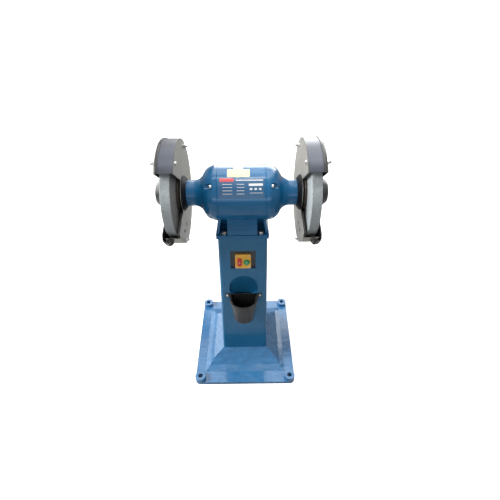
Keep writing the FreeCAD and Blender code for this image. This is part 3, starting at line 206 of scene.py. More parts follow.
def dust_group():
    """A mask of the fine dust that settles on what faces up."""
    inputs = [("Amount", FLOAT, 0.3), ("Scale", FLOAT, 18.0)]
    tree, graph, given, result = group_tree("Settled dust", "ShaderNodeTree", inputs, [("Mask", FLOAT)])
    normal = graph.add("ShaderNodeNewGeometry").outputs["Normal"]
    upward = graph.add("ShaderNodeSeparateXYZ", {"Vector": normal}).outputs["Z"]
    where = graph.add("ShaderNodeTexCoord").outputs["Object"]
    cloud = graph.ramp(graph.noise(where, given["Scale"], 6.0, 0.65), 0.35, 0.75)
    mask = graph.math("MULTIPLY", graph.ramp(upward, 0.55, 1.0), cloud)
    graph.feed(result, "Mask", graph.math("MULTIPLY", mask, given["Amount"]))
    return tree


def drift_group():
    """A colour that wanders slightly towards a second one, as hand sprayed paint does."""
    inputs = [("Color", COLOR, None), ("Second", COLOR, None), ("Scale", FLOAT, 6.0),
              ("Amount", FLOAT, 0.5)]
    tree, graph, given, result = group_tree("Colour drift", "ShaderNodeTree", inputs, [("Color", COLOR)])
    where = graph.add("ShaderNodeTexCoord").outputs["Object"]
    cloud = graph.ramp(graph.noise(where, given["Scale"], 4.0, 0.6), 0.3, 0.7)
    amount = graph.math("MULTIPLY", cloud, given["Amount"])
    graph.feed(result, "Color", graph.mix(amount, given["Color"], given["Second"]))
    return tree


def streak_group():
    """Fine lines along one direction, as grinding or rolling leaves. Stretch is small along the lines."""
    inputs = [("Stretch", VECTOR, (1, 1, 1)), ("Scale", FLOAT, 400.0)]
    tree, graph, given, result = group_tree("Directional streaks", "ShaderNodeTree", inputs,
                                            [("Value", FLOAT)])
    where = graph.add("ShaderNodeTexCoord").outputs["Object"]
    along = graph.stretched(where, given["Stretch"])
    fine = graph.noise(along, given["Scale"], 6.0, 0.7)
    broad = graph.noise(along, graph.math("MULTIPLY", given["Scale"], 0.22), 3.0, 0.5)
    mixed = graph.math("ADD", graph.math("MULTIPLY", fine, 0.6), graph.math("MULTIPLY", broad, 0.4))
    graph.feed(result, "Value", mixed)
    return tree


def grit_group():
    """Packed abrasive grains: a value for each grain and its height."""
    inputs = [("Scale", FLOAT, 900.0)]
    outputs = [("Grain", FLOAT), ("Height", FLOAT)]
    tree, graph, given, result = group_tree("Abrasive grains", "ShaderNodeTree", inputs, outputs)
    where = graph.add("ShaderNodeTexCoord").outputs["Object"]
    cells = graph.add("ShaderNodeTexVoronoi", {"Vector": where, "Scale": given["Scale"]})
    tone = graph.add("ShaderNodeSeparateColor", {"Color": cells.outputs["Color"]}).outputs["Red"]
    graph.feed(result, "Grain", tone)
    bumps = graph.math("SUBTRACT", 1.0, cells.outputs["Distance"])
    rough = graph.noise(where, graph.math("MULTIPLY", given["Scale"], 0.3), 5.0, 0.7)
    graph.feed(result, "Height", graph.math("ADD", bumps, rough))
    return tree


EDGE_WEAR = edge_wear_group()
CREVICE_SHADE_AND_GRIME = crevice_shade_and_grime_group()
DUST = dust_group()
DRIFT = drift_group()
STREAKS = streak_group()
GRIT = grit_group()


class Finish(Graph):
    """One material: a Principled surface whose colour, roughness and bump are built up in steps."""

    def __init__(self, name, **plain):
        self.material = bpy.data.materials.new(name)
        self.material.use_nodes = True
        super().__init__(self.material.node_tree)
        self.surface = self.add("ShaderNodeBsdfPrincipled", plain)
        self.add("ShaderNodeOutputMaterial", {"Surface": self.surface.outputs[0]})
        self.where = self.add("ShaderNodeTexCoord").outputs["Object"]

    def use(self, tree, **values):
        node = self.add("ShaderNodeGroup", node_tree=tree)
        for name, value in values.items():
            self.feed(node, name.replace("_", " "), value)
        return node.outputs

    def colour(self, value):
        self.feed(self.surface, "Base Color", value)

    def rough(self, value):
        self.feed(self.surface, "Roughness", value)

    def bump(self, height, strength, distance):
        under = self.surface.inputs["Normal"].links
        values = {"Height": height, "Strength": strength, "Distance": distance}
        if under:
            values["Normal"] = under[0].from_socket
        node = self.add("ShaderNodeBump", values)
        self.feed(self.surface, "Normal", node.outputs["Normal"])

    def reach(self, middle_y, middle_z):
        """The distance from a line along the spindle's direction."""
        across = self.stretched(self.where, (0, 1, 1))
        node = self.add("ShaderNodeVectorMath", {0: across, 1: (0, middle_y, middle_z)}, operation="DISTANCE")
        return node.outputs["Value"]

    def between(self, mask, low, high):
        """A value that runs from low to high with a mask."""
        node = self.add("ShaderNodeMapRange", {"Value": mask, "To Min": low, "To Max": high})
        return node.outputs["Result"]


# ---- finishes ---------------------------------------------------------------------------------

DUST_COLOUR = (0.42, 0.40, 0.37, 1)
# The near black of painted shade and dirt in corners and grooves.
SHADE_AND_GRIME_COLOUR = (0.012, 0.014, 0.018, 1)
PRIMER_COLOUR = (0.20, 0.21, 0.22, 1)


def enamel(name, colour, second, gloss, peel, dust, wear=0.35, coat=0.28, coat_haze=0.16):
    """Sprayed enamel on a casting: an even colour, orange peel, painted shade and dirt in the corners and
    grooves, and rubbed edges.
    """
    finish = Finish(name, **{"Coat Weight": coat, "Coat Roughness": coat_haze, "Specular IOR Level": 0.10})
    tint = finish.use(DRIFT, Color=(*colour, 1), Second=(*second, 1), Scale=5.0, Amount=0.6)["Color"]
    # Painted shade and dirt: ambient occlusion darkens the corners, and more tightly the narrow grooves such as
    # the seams, towards near black, broken up by noise.
    shade_and_grime = finish.use(CREVICE_SHADE_AND_GRIME, Reach=0.018, Amount=0.3)["Mask"]
    groove_shade_and_grime = finish.use(CREVICE_SHADE_AND_GRIME, Reach=0.0035, Amount=0.9)["Mask"]
    rubbed = finish.use(EDGE_WEAR, Width=0.0016, Amount=wear, Patch_Scale=45.0)["Mask"]
    settled = finish.use(DUST, Amount=dust, Scale=16.0)["Mask"]
    tint = finish.mix(finish.math("MAXIMUM", shade_and_grime, groove_shade_and_grime), tint, SHADE_AND_GRIME_COLOUR)
    tint = finish.mix(rubbed, tint, PRIMER_COLOUR)
    finish.colour(finish.mix(settled, tint, DUST_COLOUR))
    uneven = finish.noise(finish.where, 30.0, 4.0, 0.6)
    rough = finish.between(uneven, gloss * 0.8, gloss * 1.3)
    finish.rough(finish.math("ADD", rough, finish.math("MULTIPLY", settled, 0.5), clamp=True))
    finish.bump(finish.noise(finish.where, 260.0, 2.0, 0.4), peel, 0.4 * MM)
    return finish


def motor_enamel():
    finish = enamel("motor_enamel", (0.008, 0.120, 0.285), (0.012, 0.150, 0.335), 0.18, 0.10, 0.03,
                    coat=0.36, coat_haze=0.22)
    return finish.material


def column_enamel():
    finish = enamel("column_enamel", (0.012, 0.135, 0.29), (0.016, 0.160, 0.34), 0.30, 0.14, 0.03,
                    coat=0.45)
    return finish.material


def base_enamel():
    """Thick enamel over a rough sand casting, with broad brush ripples."""
    finish = enamel("base_enamel", (0.027, 0.142, 0.315), (0.040, 0.182, 0.385), 0.26, 0.16, 0.06,
                    wear=0.4, coat=0.45, coat_haze=0.12)
    ripple = finish.noise(finish.stretched(finish.where, (0.45, 1.0, 1.0)), 48.0, 2.0, 0.55)
    finish.bump(ripple, 1.0, 9.0 * MM)
    sand = finish.noise(finish.where, 420.0, 4.0, 0.65)
    finish.bump(sand, 0.20, 0.5 * MM)
    return finish.material


# Where the guards' sheet ends and the band and its seam begin: two limits of a soft step each, as radius
# about the spindle and as distance from the middle.
BAND_RADIUS, BAND_ASIDE = (0.1762, 0.1768), (0.2003, 0.2006)
SEAM_RADIUS, SEAM_ASIDE = (0.1772, 0.1778), (0.2034, 0.2028)
# Painted shade about the rest holes: the radius where it starts and the radius where it is full.
HOLE_SHADE_RADIUS = (0.0090, 0.0068)
CHEEK_GREY, CHEEK_SHADE, CHEEK_LINES = (0.30, 0.295, 0.268, 1), (0.245, 0.238, 0.218, 1), (0.175, 0.17, 0.16, 1)
BAND_GREY, BAND_SHADE = (0.043, 0.048, 0.062, 1), (0.052, 0.056, 0.066, 1)
SPECK_COLOUR, SHEET_SHADE_AND_GRIME = (0.12, 0.11, 0.10, 1), (0.05, 0.045, 0.04, 1)
HOLE_SHADE_COLOUR, SEAM_COLOUR = (0.018, 0.016, 0.014, 1), (0.012, 0.012, 0.013, 1)


def bare_sheet():
    """Steel sheet: a warm grey cheek, a blued band and a dark line along the welded seam between the two."""
    finish = Finish("bare_sheet", **{"IOR": 1.5})
    lines = finish.use(STREAKS, Stretch=(1.0, 0.12, 1.0), Scale=260.0)["Value"]
    cheek = finish.use(DRIFT, Color=CHEEK_GREY, Second=CHEEK_SHADE, Scale=9.0, Amount=0.7)["Color"]
    cheek = finish.mix(finish.ramp(lines, 0.55, 0.75), cheek, CHEEK_LINES)
    band = finish.use(DRIFT, Color=BAND_GREY, Second=BAND_SHADE, Scale=14.0, Amount=0.8)
    offset = finish.reach(0, AXIS_Z)
    aside = finish.math("ABSOLUTE", finish.add("ShaderNodeSeparateXYZ", {"Vector": finish.where}).outputs["X"])
    on_band = finish.math("MULTIPLY", finish.ramp(offset, *BAND_RADIUS), finish.ramp(aside, *BAND_ASIDE))
    tint = finish.mix(on_band, cheek, band["Color"])
    specks = finish.ramp(finish.noise(finish.where, 900.0, 2.0, 0.8), 0.62, 0.70)
    tint = finish.mix(finish.math("MULTIPLY", specks, 0.35), tint, SPECK_COLOUR)
    # Painted shade and dirt: ambient occlusion darkens the corners of the sheet.
    shade_and_grime = finish.use(CREVICE_SHADE_AND_GRIME, Reach=0.010, Amount=0.4)["Mask"]
    # A dark, dull line on the band where it meets the cheek.
    seam = finish.math("MULTIPLY", finish.ramp(offset, *SEAM_RADIUS), finish.ramp(aside, *SEAM_ASIDE))
    tint = finish.mix(shade_and_grime, tint, SHEET_SHADE_AND_GRIME)
    # Painted shade: the cheek darkens round each rest hole, for the shade inside the guard.
    for y in REST_HOLES_Y:
        mark = finish.ramp(finish.reach(y, AXIS_Z - REST_HOLES_DROP), *HOLE_SHADE_RADIUS)
        tint = finish.mix(finish.math("MULTIPLY", mark, 0.9), tint, HOLE_SHADE_COLOUR)
    finish.colour(finish.mix(finish.math("MULTIPLY", seam, 0.92), tint, SEAM_COLOUR))
    metal = finish.between(on_band, 0.5, 0.8)
    finish.feed(finish.surface, "Metallic", finish.math("MULTIPLY", metal, finish.math("SUBTRACT", 1.0, seam)))
    finish.rough(finish.math("ADD", finish.between(lines, 0.34, 0.50), finish.between(on_band, 0.0, -0.03)))
    finish.bump(lines, 0.06, 0.3 * MM)
    return finish.material


def satin_black(name, colour, roughness, wear, coat=0.15):
    finish = Finish(name, **{"Coat Weight": coat, "Coat Roughness": 0.2, "Specular IOR Level": coat + 0.05})
    tint = finish.use(DRIFT, Color=(*colour, 1), Second=(*(value * 1.8 for value in colour), 1), Scale=12.0,
                      Amount=0.6)["Color"]
    rubbed = finish.use(EDGE_WEAR, Width=0.0014, Amount=wear, Patch_Scale=70.0)["Mask"]
    settled = finish.use(DUST, Amount=0.10, Scale=25.0)["Mask"]
    tint = finish.mix(rubbed, tint, (0.25, 0.24, 0.23, 1))
    finish.colour(finish.mix(settled, tint, DUST_COLOUR))
    finish.rough(finish.between(finish.noise(finish.where, 60.0, 4.0, 0.6), roughness * 0.8, roughness * 1.25))
    finish.bump(finish.noise(finish.where, 500.0, 3.0, 0.5), 0.12, 0.3 * MM)
    return finish.material


GRAIN_DARK, GRAIN_PALE = (0.335, 0.372, 0.386, 1), (0.43, 0.475, 0.49, 1)
LEFT_WHEEL_FACE = (-0.2172, -0.2162)


def abrasive():
    """Vitrified abrasive: even bluish grey grains, a few darker ones among them and open pores, with painted
    shade on the left wheel's inner face.
    """
    finish = Finish("abrasive", **{"Roughness": 0.9, "Specular IOR Level": 0.2})
    grains = finish.use(GRIT, Scale=620.0)
    coarse = finish.use(GRIT, Scale=300.0)
    tint = finish.mix(finish.ramp(grains["Grain"], 0.05, 0.95), GRAIN_DARK, GRAIN_PALE)
    dark = finish.ramp(coarse["Grain"], 0.90, 0.95)
    tint = finish.mix(finish.math("MULTIPLY", dark, 0.3), tint, (0.14, 0.14, 0.15, 1))
    stain = finish.ramp(finish.noise(finish.where, 14.0, 4.0, 0.55), 0.45, 0.8)
    tint = finish.mix(finish.math("MULTIPLY", stain, 0.2), tint, (0.26, 0.25, 0.24, 1))
    # Painted shade: the left wheel's inner face, towards the motor, is darkened to a brown grey, as the guard
    # shades it; the right wheel's inner face is left light.
    across = finish.add("ShaderNodeSeparateXYZ", {"Vector": finish.where}).outputs["X"]
    on_left = finish.math("LESS_THAN", across, 0.0)
    inner = finish.math("MULTIPLY", finish.ramp(across, *LEFT_WHEEL_FACE), on_left)
    finish.colour(finish.mix(finish.math("MULTIPLY", inner, 0.75), tint, (0.105, 0.085, 0.070, 1)))
    finish.bump(grains["Height"], 0.35, 0.7 * MM)
    return finish.material


def zinc_plate():
    finish = Finish("zinc_plate", **{"Metallic": 1.0})
    bright, dull = (0.52, 0.52, 0.51, 1), (0.36, 0.37, 0.38, 1)
    tint = finish.use(DRIFT, Color=bright, Second=dull, Scale=90.0, Amount=0.8)["Color"]
    # Painted shade and dirt: ambient occlusion darkens the tight corners.
    shade_and_grime = finish.use(CREVICE_SHADE_AND_GRIME, Reach=0.003, Amount=0.7)["Mask"]
    finish.colour(finish.mix(shade_and_grime, tint, (0.08, 0.075, 0.07, 1)))
    finish.rough(finish.between(finish.noise(finish.where, 300.0, 4.0, 0.6), 0.22, 0.42))
    finish.bump(finish.noise(finish.where, 1400.0, 2.0, 0.5), 0.08, 0.1 * MM)
    return finish.material


def turned_steel():
    """Steel with the fine rings that a lathe leaves about the spindle."""
    finish = Finish("turned_steel", **{"Metallic": 1.0})
    lines = finish.use(STREAKS, Stretch=(1.0, 0.05, 0.05), Scale=900.0)["Value"]
    finish.colour(finish.mix(lines, (0.42, 0.42, 0.43, 1), (0.62, 0.62, 0.61, 1)))
    finish.rough(finish.between(lines, 0.22, 0.40))
    finish.bump(lines, 0.10, 0.1 * MM)
    return finish.material


def moulded(name, colour, second, roughness, grain):
    """Injection moulded plastic with a fine spark texture."""
    finish = Finish(name, **{"IOR": 1.46})
    tint = finish.use(DRIFT, Color=(*colour, 1), Second=(*second, 1), Scale=40.0, Amount=0.5)["Color"]
    # Painted shade and dirt: ambient occlusion darkens the tight corners.
    shade_and_grime = finish.use(CREVICE_SHADE_AND_GRIME, Reach=0.003, Amount=0.5)["Mask"]
    finish.colour(finish.mix(shade_and_grime, tint, SHADE_AND_GRIME_COLOUR))
    finish.rough(finish.between(finish.noise(finish.where, 120.0, 3.0, 0.5), roughness * 0.85, roughness * 1.2))
    finish.bump(finish.noise(finish.where, 1500.0, 2.0, 0.5), grain, 0.15 * MM)
    return finish.material


def printed(name, colour, roughness=0.35):
    """Ink or film on metal, with a slight mottle."""
    finish = Finish(name, **{"Coat Weight": 0.3, "Coat Roughness": 0.2})
    worn = tuple(value * 0.86 for value in colour)
    finish.colour(finish.use(DRIFT, Color=(*colour, 1), Second=(*worn, 1), Scale=120.0, Amount=0.6)["Color"])
    finish.rough(finish.between(finish.noise(finish.where, 80.0, 3.0, 0.5), roughness * 0.85, roughness * 1.2))
    finish.bump(finish.noise(finish.where, 600.0, 2.0, 0.5), 0.04, 0.1 * MM)
    return finish.material


def laminations():
    """Stacked steel sheets, seen as fine lines across the spindle."""
    finish = Finish("laminations", **{"Metallic": 0.8})
    wave = finish.add("ShaderNodeTexWave", {"Vector": finish.where, "Scale": 320.0, "Distortion": 0.4})
    wave.bands_direction = "X"
    finish.colour(finish.mix(wave.outputs["Fac"], (0.10, 0.10, 0.11, 1), (0.24, 0.24, 0.25, 1)))
    finish.rough(finish.between(wave.outputs["Fac"], 0.6, 0.4))
    finish.bump(wave.outputs["Fac"], 0.3, 0.2 * MM)
    return finish.material


def enamelled_copper():
    finish = Finish("enamelled_copper", **{"Metallic": 0.7, "Coat Weight": 0.6})
    lines = finish.use(STREAKS, Stretch=(1.0, 0.15, 0.15), Scale=500.0)["Value"]
    finish.colour(finish.mix(finish.ramp(lines, 0.4, 0.6), (0.28, 0.09, 0.03, 1), (0.62, 0.28, 0.12, 1)))
    finish.rough(finish.between(lines, 0.25, 0.5))
    finish.bump(lines, 0.4, 0.5 * MM)
    return finish.material


def card():
    finish = Finish("card", **{"Roughness": 0.9})
    fibres = finish.use(STREAKS, Stretch=(0.3, 1.0, 1.0), Scale=420.0)["Value"]
    finish.colour(finish.mix(fibres, (0.050, 0.044, 0.040, 1), (0.085, 0.075, 0.066, 1)))
    finish.bump(fibres, 0.2, 0.2 * MM)
    return finish.material


MOTOR_BLUE = motor_enamel()
COLUMN_BLUE = column_enamel()
BASE_BLUE = base_enamel()
BARE_SHEET = bare_sheet()
GUARD_BLACK = satin_black("guard_black", (0.016, 0.016, 0.017), 0.34, 0.3)
FLANGE_BLACK = satin_black("flange_black", (0.006, 0.008, 0.011), 0.55, 0.08, coat=0.03)
REST_BOLT = satin_black("rest_bolt", (0.030, 0.029, 0.028), 0.45, 0.5)
CAST_BROWN = satin_black("cast_brown", (0.030, 0.024, 0.020), 0.55, 0.3)
POT_BLACK = satin_black("pot_black", (0.014, 0.014, 0.015), 0.42, 0.5)
STRIP_BLACK = moulded("strip_black", (0.015, 0.015, 0.015), (0.022, 0.022, 0.022), 0.6, 0.15)
ABRASIVE = abrasive()
ZINC = zinc_plate()
TURNED = turned_steel()
SWITCH_BLACK = moulded("switch_black", (0.018, 0.018, 0.020), (0.026, 0.026, 0.028), 0.45, 0.12)
SWITCH_YELLOW = moulded("switch_yellow", (0.97, 0.50, 0.06), (0.99, 0.56, 0.09), 0.36, 0.08)
BUTTON_RED = moulded("button_red", (0.62, 0.02, 0.02), (0.70, 0.03, 0.03), 0.28, 0.03)
BUTTON_GREEN = moulded("button_green", (0.01, 0.27, 0.09), (0.015, 0.33, 0.12), 0.28, 0.03)
MARK_WHITE = printed("mark_white", (0.80, 0.80, 0.78))
PLATE_BLUE = printed("plate_blue", (0.010, 0.095, 0.225), 0.25)
PRINT_RED = printed("print_red", (0.62, 0.03, 0.04))
FILM_YELLOW = printed("film_yellow", (0.86, 0.80, 0.36), 0.3)
GLAND_BLACK = moulded("gland_black", (0.02, 0.02, 0.02), (0.03, 0.03, 0.03), 0.5, 0.1)
LAMINATIONS = laminations()
COPPER = enamelled_copper()
CARD = card()


def dress(material, *nodes):
    for node in nodes:
        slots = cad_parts[node].data.materials
        slots.clear()
        slots.append(material)


def both(*names):
    return [side + name for side in ("left_", "right_") for name in names]


dress(BASE_BLUE, "base_casting")
dress(COLUMN_BLUE, "column", "column_face", "rear_cover")
dress(MOTOR_BLUE, "stator_housing", *both("end_bell"))
dress(BARE_SHEET, *both("guard_body"))
dress(GUARD_BLACK, *both("guard_cover"))
dress(STRIP_BLACK, *both("guard_edge_strips"))
dress(FLANGE_BLACK, *both("guard_flange"))
dress(POT_BLACK, "water_pot")
dress(ABRASIVE, *both("grinding_wheel"))
dress(CARD, *both("paper_blotters"))
dress(TURNED, "spindle", "stop_button_spring", "start_button_spring")
dress(TURNED, *both("spindle_nut"))
dress(CAST_BROWN, *both("inner_flange", "outer_flange"))
dress(TURNED, *both("bearing_outer_ring", "bearing_inner_ring", "bearing_balls", "bearing_cage"))
dress(ZINC, "column_anchor_bolts", "motor_foot_washers", "guard_flange_screws", "rotor_end_rings")
dress(SWITCH_BLACK, "switch_mount_plate", "switch_box")
dress(SWITCH_YELLOW, "switch_cover")
dress(PLATE_BLUE, "data_plate")
dress(GLAND_BLACK, "cable_gland")
dress(LAMINATIONS, "stator_core", "rotor_core")
dress(COPPER, "stator_windings")


# ---- meshes -----------------------------------------------------------------------------------

SMOOTH_ANGLE = math.radians(35)


def make_piece(name, points, faces, material):
    """An object at the origin, with its place in its mesh and its faces outwards."""
    mesh = bpy.data.meshes.new(name)
    mesh.from_pydata([tuple(point) for point in points], [], faces)
    work = bmesh.new()
    work.from_mesh(mesh)
    bmesh.ops.remove_doubles(work, verts=work.verts, dist=0.002 * MM)
    bmesh.ops.recalc_face_normals(work, faces=work.faces)
    work.to_mesh(mesh)
    work.free()
    mesh.materials.append(material)
    piece = bpy.data.objects.new(name, mesh)
    bpy.context.collection.objects.link(piece)
    mesh.polygons.foreach_set("use_smooth", [True] * len(mesh.polygons))
    mesh.set_sharp_from_angle(angle=SMOOTH_ANGLE)
    return piece


def turned_faces(rings, around):
    """Faces between rings of points about an axis."""
    faces = []
    for ring in range(rings - 1):
        for i in range(around):
            j = (i + 1) % around
            low, high = ring * around, (ring + 1) * around
            faces.append((low + i, low + j, high + j, high + i))
    return faces


def towards(axis, place):
    """Turns local Z to an axis and moves the origin to a place."""
    return Matrix.Translation(place) @ Vector(axis).to_track_quat("Z", "Y").to_matrix().to_4x4()


def hex_radius(angle, flat):
    """Distance from the middle of a hexagon to its side, at an angle."""
    return flat / math.cos((angle % (math.pi / 3)) - math.pi / 6)


AROUND = 48
ANGLES = [math.tau * i / AROUND for i in range(AROUND)]
CHAMFER_SLOPE = math.tan(math.radians(30))
CROWN_SHARE = 0.97


def ring_of(radius_at, z_at):
    """A ring about local Z whose radius and height may change with the angle."""
    return [(radius_at(a) * math.cos(a), radius_at(a) * math.sin(a), z_at(a)) for a in ANGLES]


def level(radius, z):
    """A round, flat ring."""
    return ring_of(lambda a: radius, lambda a: z)


def fastener_rings(kind, head, height, shank, length, pitch):
    """Rings of a bolt or screw along local Z, from the shank's tip up to the head's top face."""
    rings = [level(0, -length), level(shank - pitch * 0.6, -length)]
    steps = max(2, round(length / pitch * 5)) if pitch else 1
    for step in range(steps + 1):
        z = -length + pitch * 0.6 + (length - pitch * 0.6) * step / steps

        def thread(a, z=z):
            turn = (z / pitch - a / math.tau) % 1 if pitch else 0
            return shank - (pitch * 0.5 * abs(turn * 2 - 1) if pitch else 0)

        rings.append(ring_of(thread, lambda a, z=z: z))
    if kind == "hex":
        flat = head * math.cos(math.pi / 6)
        crown = flat * CROWN_SHARE

        def side(a):
            return hex_radius(a, flat)

        def shoulder(a):
            return height - (hex_radius(a, flat) - crown) * CHAMFER_SLOPE

        rings += [level(flat * 0.96, 0), ring_of(side, lambda a: height * 0.05), ring_of(side, shoulder)]
        rings += [level(crown, height), level(crown * 0.55, height), level(0, height - 0.02 * MM)]
    elif kind == "socket":
        socket = head * 0.52
        rings += [level(head * 0.96, 0), level(head, height * 0.06), level(head, height * 0.88)]
        rings += [level(head * 0.93, height), level(socket * 1.18, height)]
        rings += [ring_of(lambda a: hex_radius(a, socket), lambda a: height * 0.97)]
        rings += [ring_of(lambda a: hex_radius(a, socket), lambda a: height * 0.4), level(0, height * 0.34)]
    else:
        for step in range(7):
            turn = math.pi / 2 * step / 6
            rings.append(level(head * math.cos(turn) ** 0.6, height * (0.12 + 0.88 * math.sin(turn))))
    return rings


def fastener(name, kind, head, height, shank, length, pitch, material):
    rings = fastener_rings(kind, head, height, shank, length, pitch)
    points = [point for ring in rings for point in ring]
    piece = make_piece(name, points, turned_faces(len(rings), AROUND), material)
    if kind == "cross":
        cut_cross(piece, head, height)
    return piece


def cut_cross(piece, head, height):
    """A cross recess in a domed head."""
    arm, width = head * 0.62, head * 0.17
    tool = bmesh.new()
    for size in ((arm, width), (width, arm)):
        part = bmesh.ops.create_cube(tool, size=2)
        matrix = Matrix.Translation((0, 0, height * 1.05)) @ Matrix.Diagonal((*size, height * 0.55, 1))
        bmesh.ops.transform(tool, matrix=matrix, verts=part["verts"])
    mesh = bpy.data.meshes.new("cross_tool")
    tool.to_mesh(mesh)
    tool.free()
    cutter = bpy.data.objects.new("cross_tool", mesh)
    bpy.context.collection.objects.link(cutter)
    cut = piece.modifiers.new("cross", "BOOLEAN")
    cut.object = cutter
    cut.operation = "DIFFERENCE"
    cut.solver = "EXACT"
    cut.use_self = True
    settle(piece)
    bpy.data.objects.remove(cutter)


def settle(piece):
    """Replace a piece's mesh by what its modifiers make of it."""
    depsgraph = bpy.context.evaluated_depsgraph_get()
    mesh = bpy.data.meshes.new_from_object(piece.evaluated_get(depsgraph), depsgraph=depsgraph)
    piece.modifiers.clear()
    piece.data = mesh


# ---- sets of fasteners, placed by geometry nodes ------------------------------------------------

def fastener_tree():
    """Puts a copy of one fastener on each point, turned to the point's facing and clocked at random."""
    inputs = [("Geometry", "NodeSocketGeometry", None), ("Fastener", "NodeSocketObject", None),
              ("Seed", "NodeSocketInt", 0), ("Material", "NodeSocketMaterial", None)]
    outputs = [("Geometry", "NodeSocketGeometry")]
    tree, graph, given, result = group_tree("Fastener set", "GeometryNodeTree", inputs, outputs)
    facing = graph.add("GeometryNodeInputNamedAttribute", {"Name": "facing"}, data_type="FLOAT_VECTOR")
    turned = graph.add("FunctionNodeAlignRotationToVector", {"Vector": facing.outputs["Attribute"]}, axis="Z")
    clock = graph.add("FunctionNodeRandomValue", data_type="FLOAT")
    graph.feed(clock, 2, 0.0)
    graph.feed(clock, 3, math.tau)
    graph.feed(clock, "Seed", given["Seed"])
    spin = graph.add("FunctionNodeAxisAngleToRotation", {"Axis": (0, 0, 1), "Angle": clock.outputs[1]})
    turns = {"Rotation": turned.outputs[0], "Rotate By": spin.outputs[0]}
    placed = graph.add("FunctionNodeRotateRotation", turns)
    placed.rotation_space = "LOCAL"
    shape = graph.add("GeometryNodeObjectInfo", {"Object": given["Fastener"]})
    points = graph.add("GeometryNodeMeshToPoints", {"Mesh": given["Geometry"]})
    copies = graph.add("GeometryNodeInstanceOnPoints", {
        "Points": points.outputs[0], "Instance": shape.outputs["Geometry"], "Rotation": placed.outputs[0]})
    real = graph.add("GeometryNodeRealizeInstances", {"Geometry": copies.outputs[0]})
    coated = graph.add("GeometryNodeSetMaterial", {"Geometry": real.outputs[0], "Material": given["Material"]})
    graph.feed(result, "Geometry", coated.outputs[0])
    return tree


FASTENER_TREE = fastener_tree()


def set_inputs(modifier, **values):
    for item in modifier.node_group.interface.items_tree:
        if item.item_type == "SOCKET" and item.in_out == "INPUT" and item.name in values:
            modifier[item.identifier] = values[item.name]


def fastener_set(name, source, places, facings, seed, material):
    """One piece with a copy of the source at each place."""
    mesh = bpy.data.meshes.new(name)
    mesh.from_pydata([tuple(place) for place in places], [], [])
    facing = mesh.attributes.new("facing", "FLOAT_VECTOR", "POINT")
    facing.data.foreach_set("vector", [value for vector in facings for value in vector])
    piece = bpy.data.objects.new(name, mesh)
    bpy.context.collection.objects.link(piece)
    modifier = piece.modifiers.new("set", "NODES")
    modifier.node_group = FASTENER_TREE
    set_inputs(modifier, Fastener=source, Seed=seed, Material=material)
    settle(piece)
    piece.data.name = name
    bpy.data.objects.remove(source)
    return piece


def along_axis(points, axis):
    """Each point's height along an axis and its distance from the axis through their middle line."""
    axis = np.array(axis)
    heights = points @ axis
    across = points - np.outer(heights, axis)
    centre = (across.max(axis=0) + across.min(axis=0)) / 2
    return heights, np.linalg.norm(across - centre, axis=1), centre


def read_fastener(points, axis):
    """Seat, facing, head radius, head height, shank radius and shank length of one solid along an axis."""
    heights, radii, centre = along_axis(points, axis)
    top_end = radii[heights > heights.max() - 0.3 * MM].max()
    low_end = radii[heights < heights.min() + 0.3 * MM].max()
    facing = Vector(axis) if top_end > low_end else -Vector(axis)
    heights, radii, centre = along_axis(points, facing)
    head = radii.max()
    shank = min(top_end, low_end)
    seat = heights[radii > shank * 1.2].min()
    place = Vector(centre) + facing * seat
    return place, facing, head, heights.max() - seat, shank, seat - heights.min()


def stand_in(piece, node):
    """Show a set of plated fasteners, fixed to the stand, in place of a node."""
    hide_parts(node)
    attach(piece, "stand")


def replace_fasteners(node, kind, axis, pitch, seed, material=ZINC):
    """Stand a finer set of bolts or screws in for a node."""
    read = [read_fastener(points, axis) for points in solids(node)]
    _, _, head, height, shank, length = read[0]
    source = fastener(node + "_one", kind, head, height, shank, length, pitch, material)
    places, facings = [item[0] for item in read], [item[1] for item in read]
    stand_in(fastener_set(node + "_fine", source, places, facings, seed, material), node)


def nut_rings(head, height, bore, pitch):
    """Rings of a nut along local Z, from the bore's lower edge round the outside to the bore's upper edge."""
    flat = head * math.cos(math.pi / 6)
    crown = flat * CROWN_SHARE
    mouth = bore + pitch * 0.5

    def side(a):
        return hex_radius(a, flat)

    def drop(a):
        return (hex_radius(a, flat) - crown) * CHAMFER_SLOPE

    rings = [level(bore, pitch * 0.5), level(mouth, 0), level(crown, 0), ring_of(side, drop)]
    rings += [ring_of(side, lambda a: height - drop(a)), level(crown, height), level(mouth, height)]
    rings.append(level(bore, height - pitch * 0.5))
    return rings


def replace_nuts(node, axis, bore, pitch, seed, material=ZINC):
    """Stand a finer set of nuts in for a node."""
    places, facings = [], []
    for points in solids(node):
        heights, radii, centre = along_axis(points, axis)
        places.append(Vector(centre) + Vector(axis) * heights.min())
        facings.append(Vector(axis))
        head, height = radii.max(), heights.max() - heights.min()
    rings = nut_rings(head, height, bore, pitch)
    points = [point for ring in rings for point in ring]
    faces = turned_faces(len(rings), AROUND)
    last = (len(rings) - 1) * AROUND
    faces += [(last + i, last + (i + 1) % AROUND, (i + 1) % AROUND, i) for i in range(AROUND)]
    source = make_piece(node + "_one", points, faces, material)
    stand_in(fastener_set(node + "_fine", source, places, facings, seed, material), node)


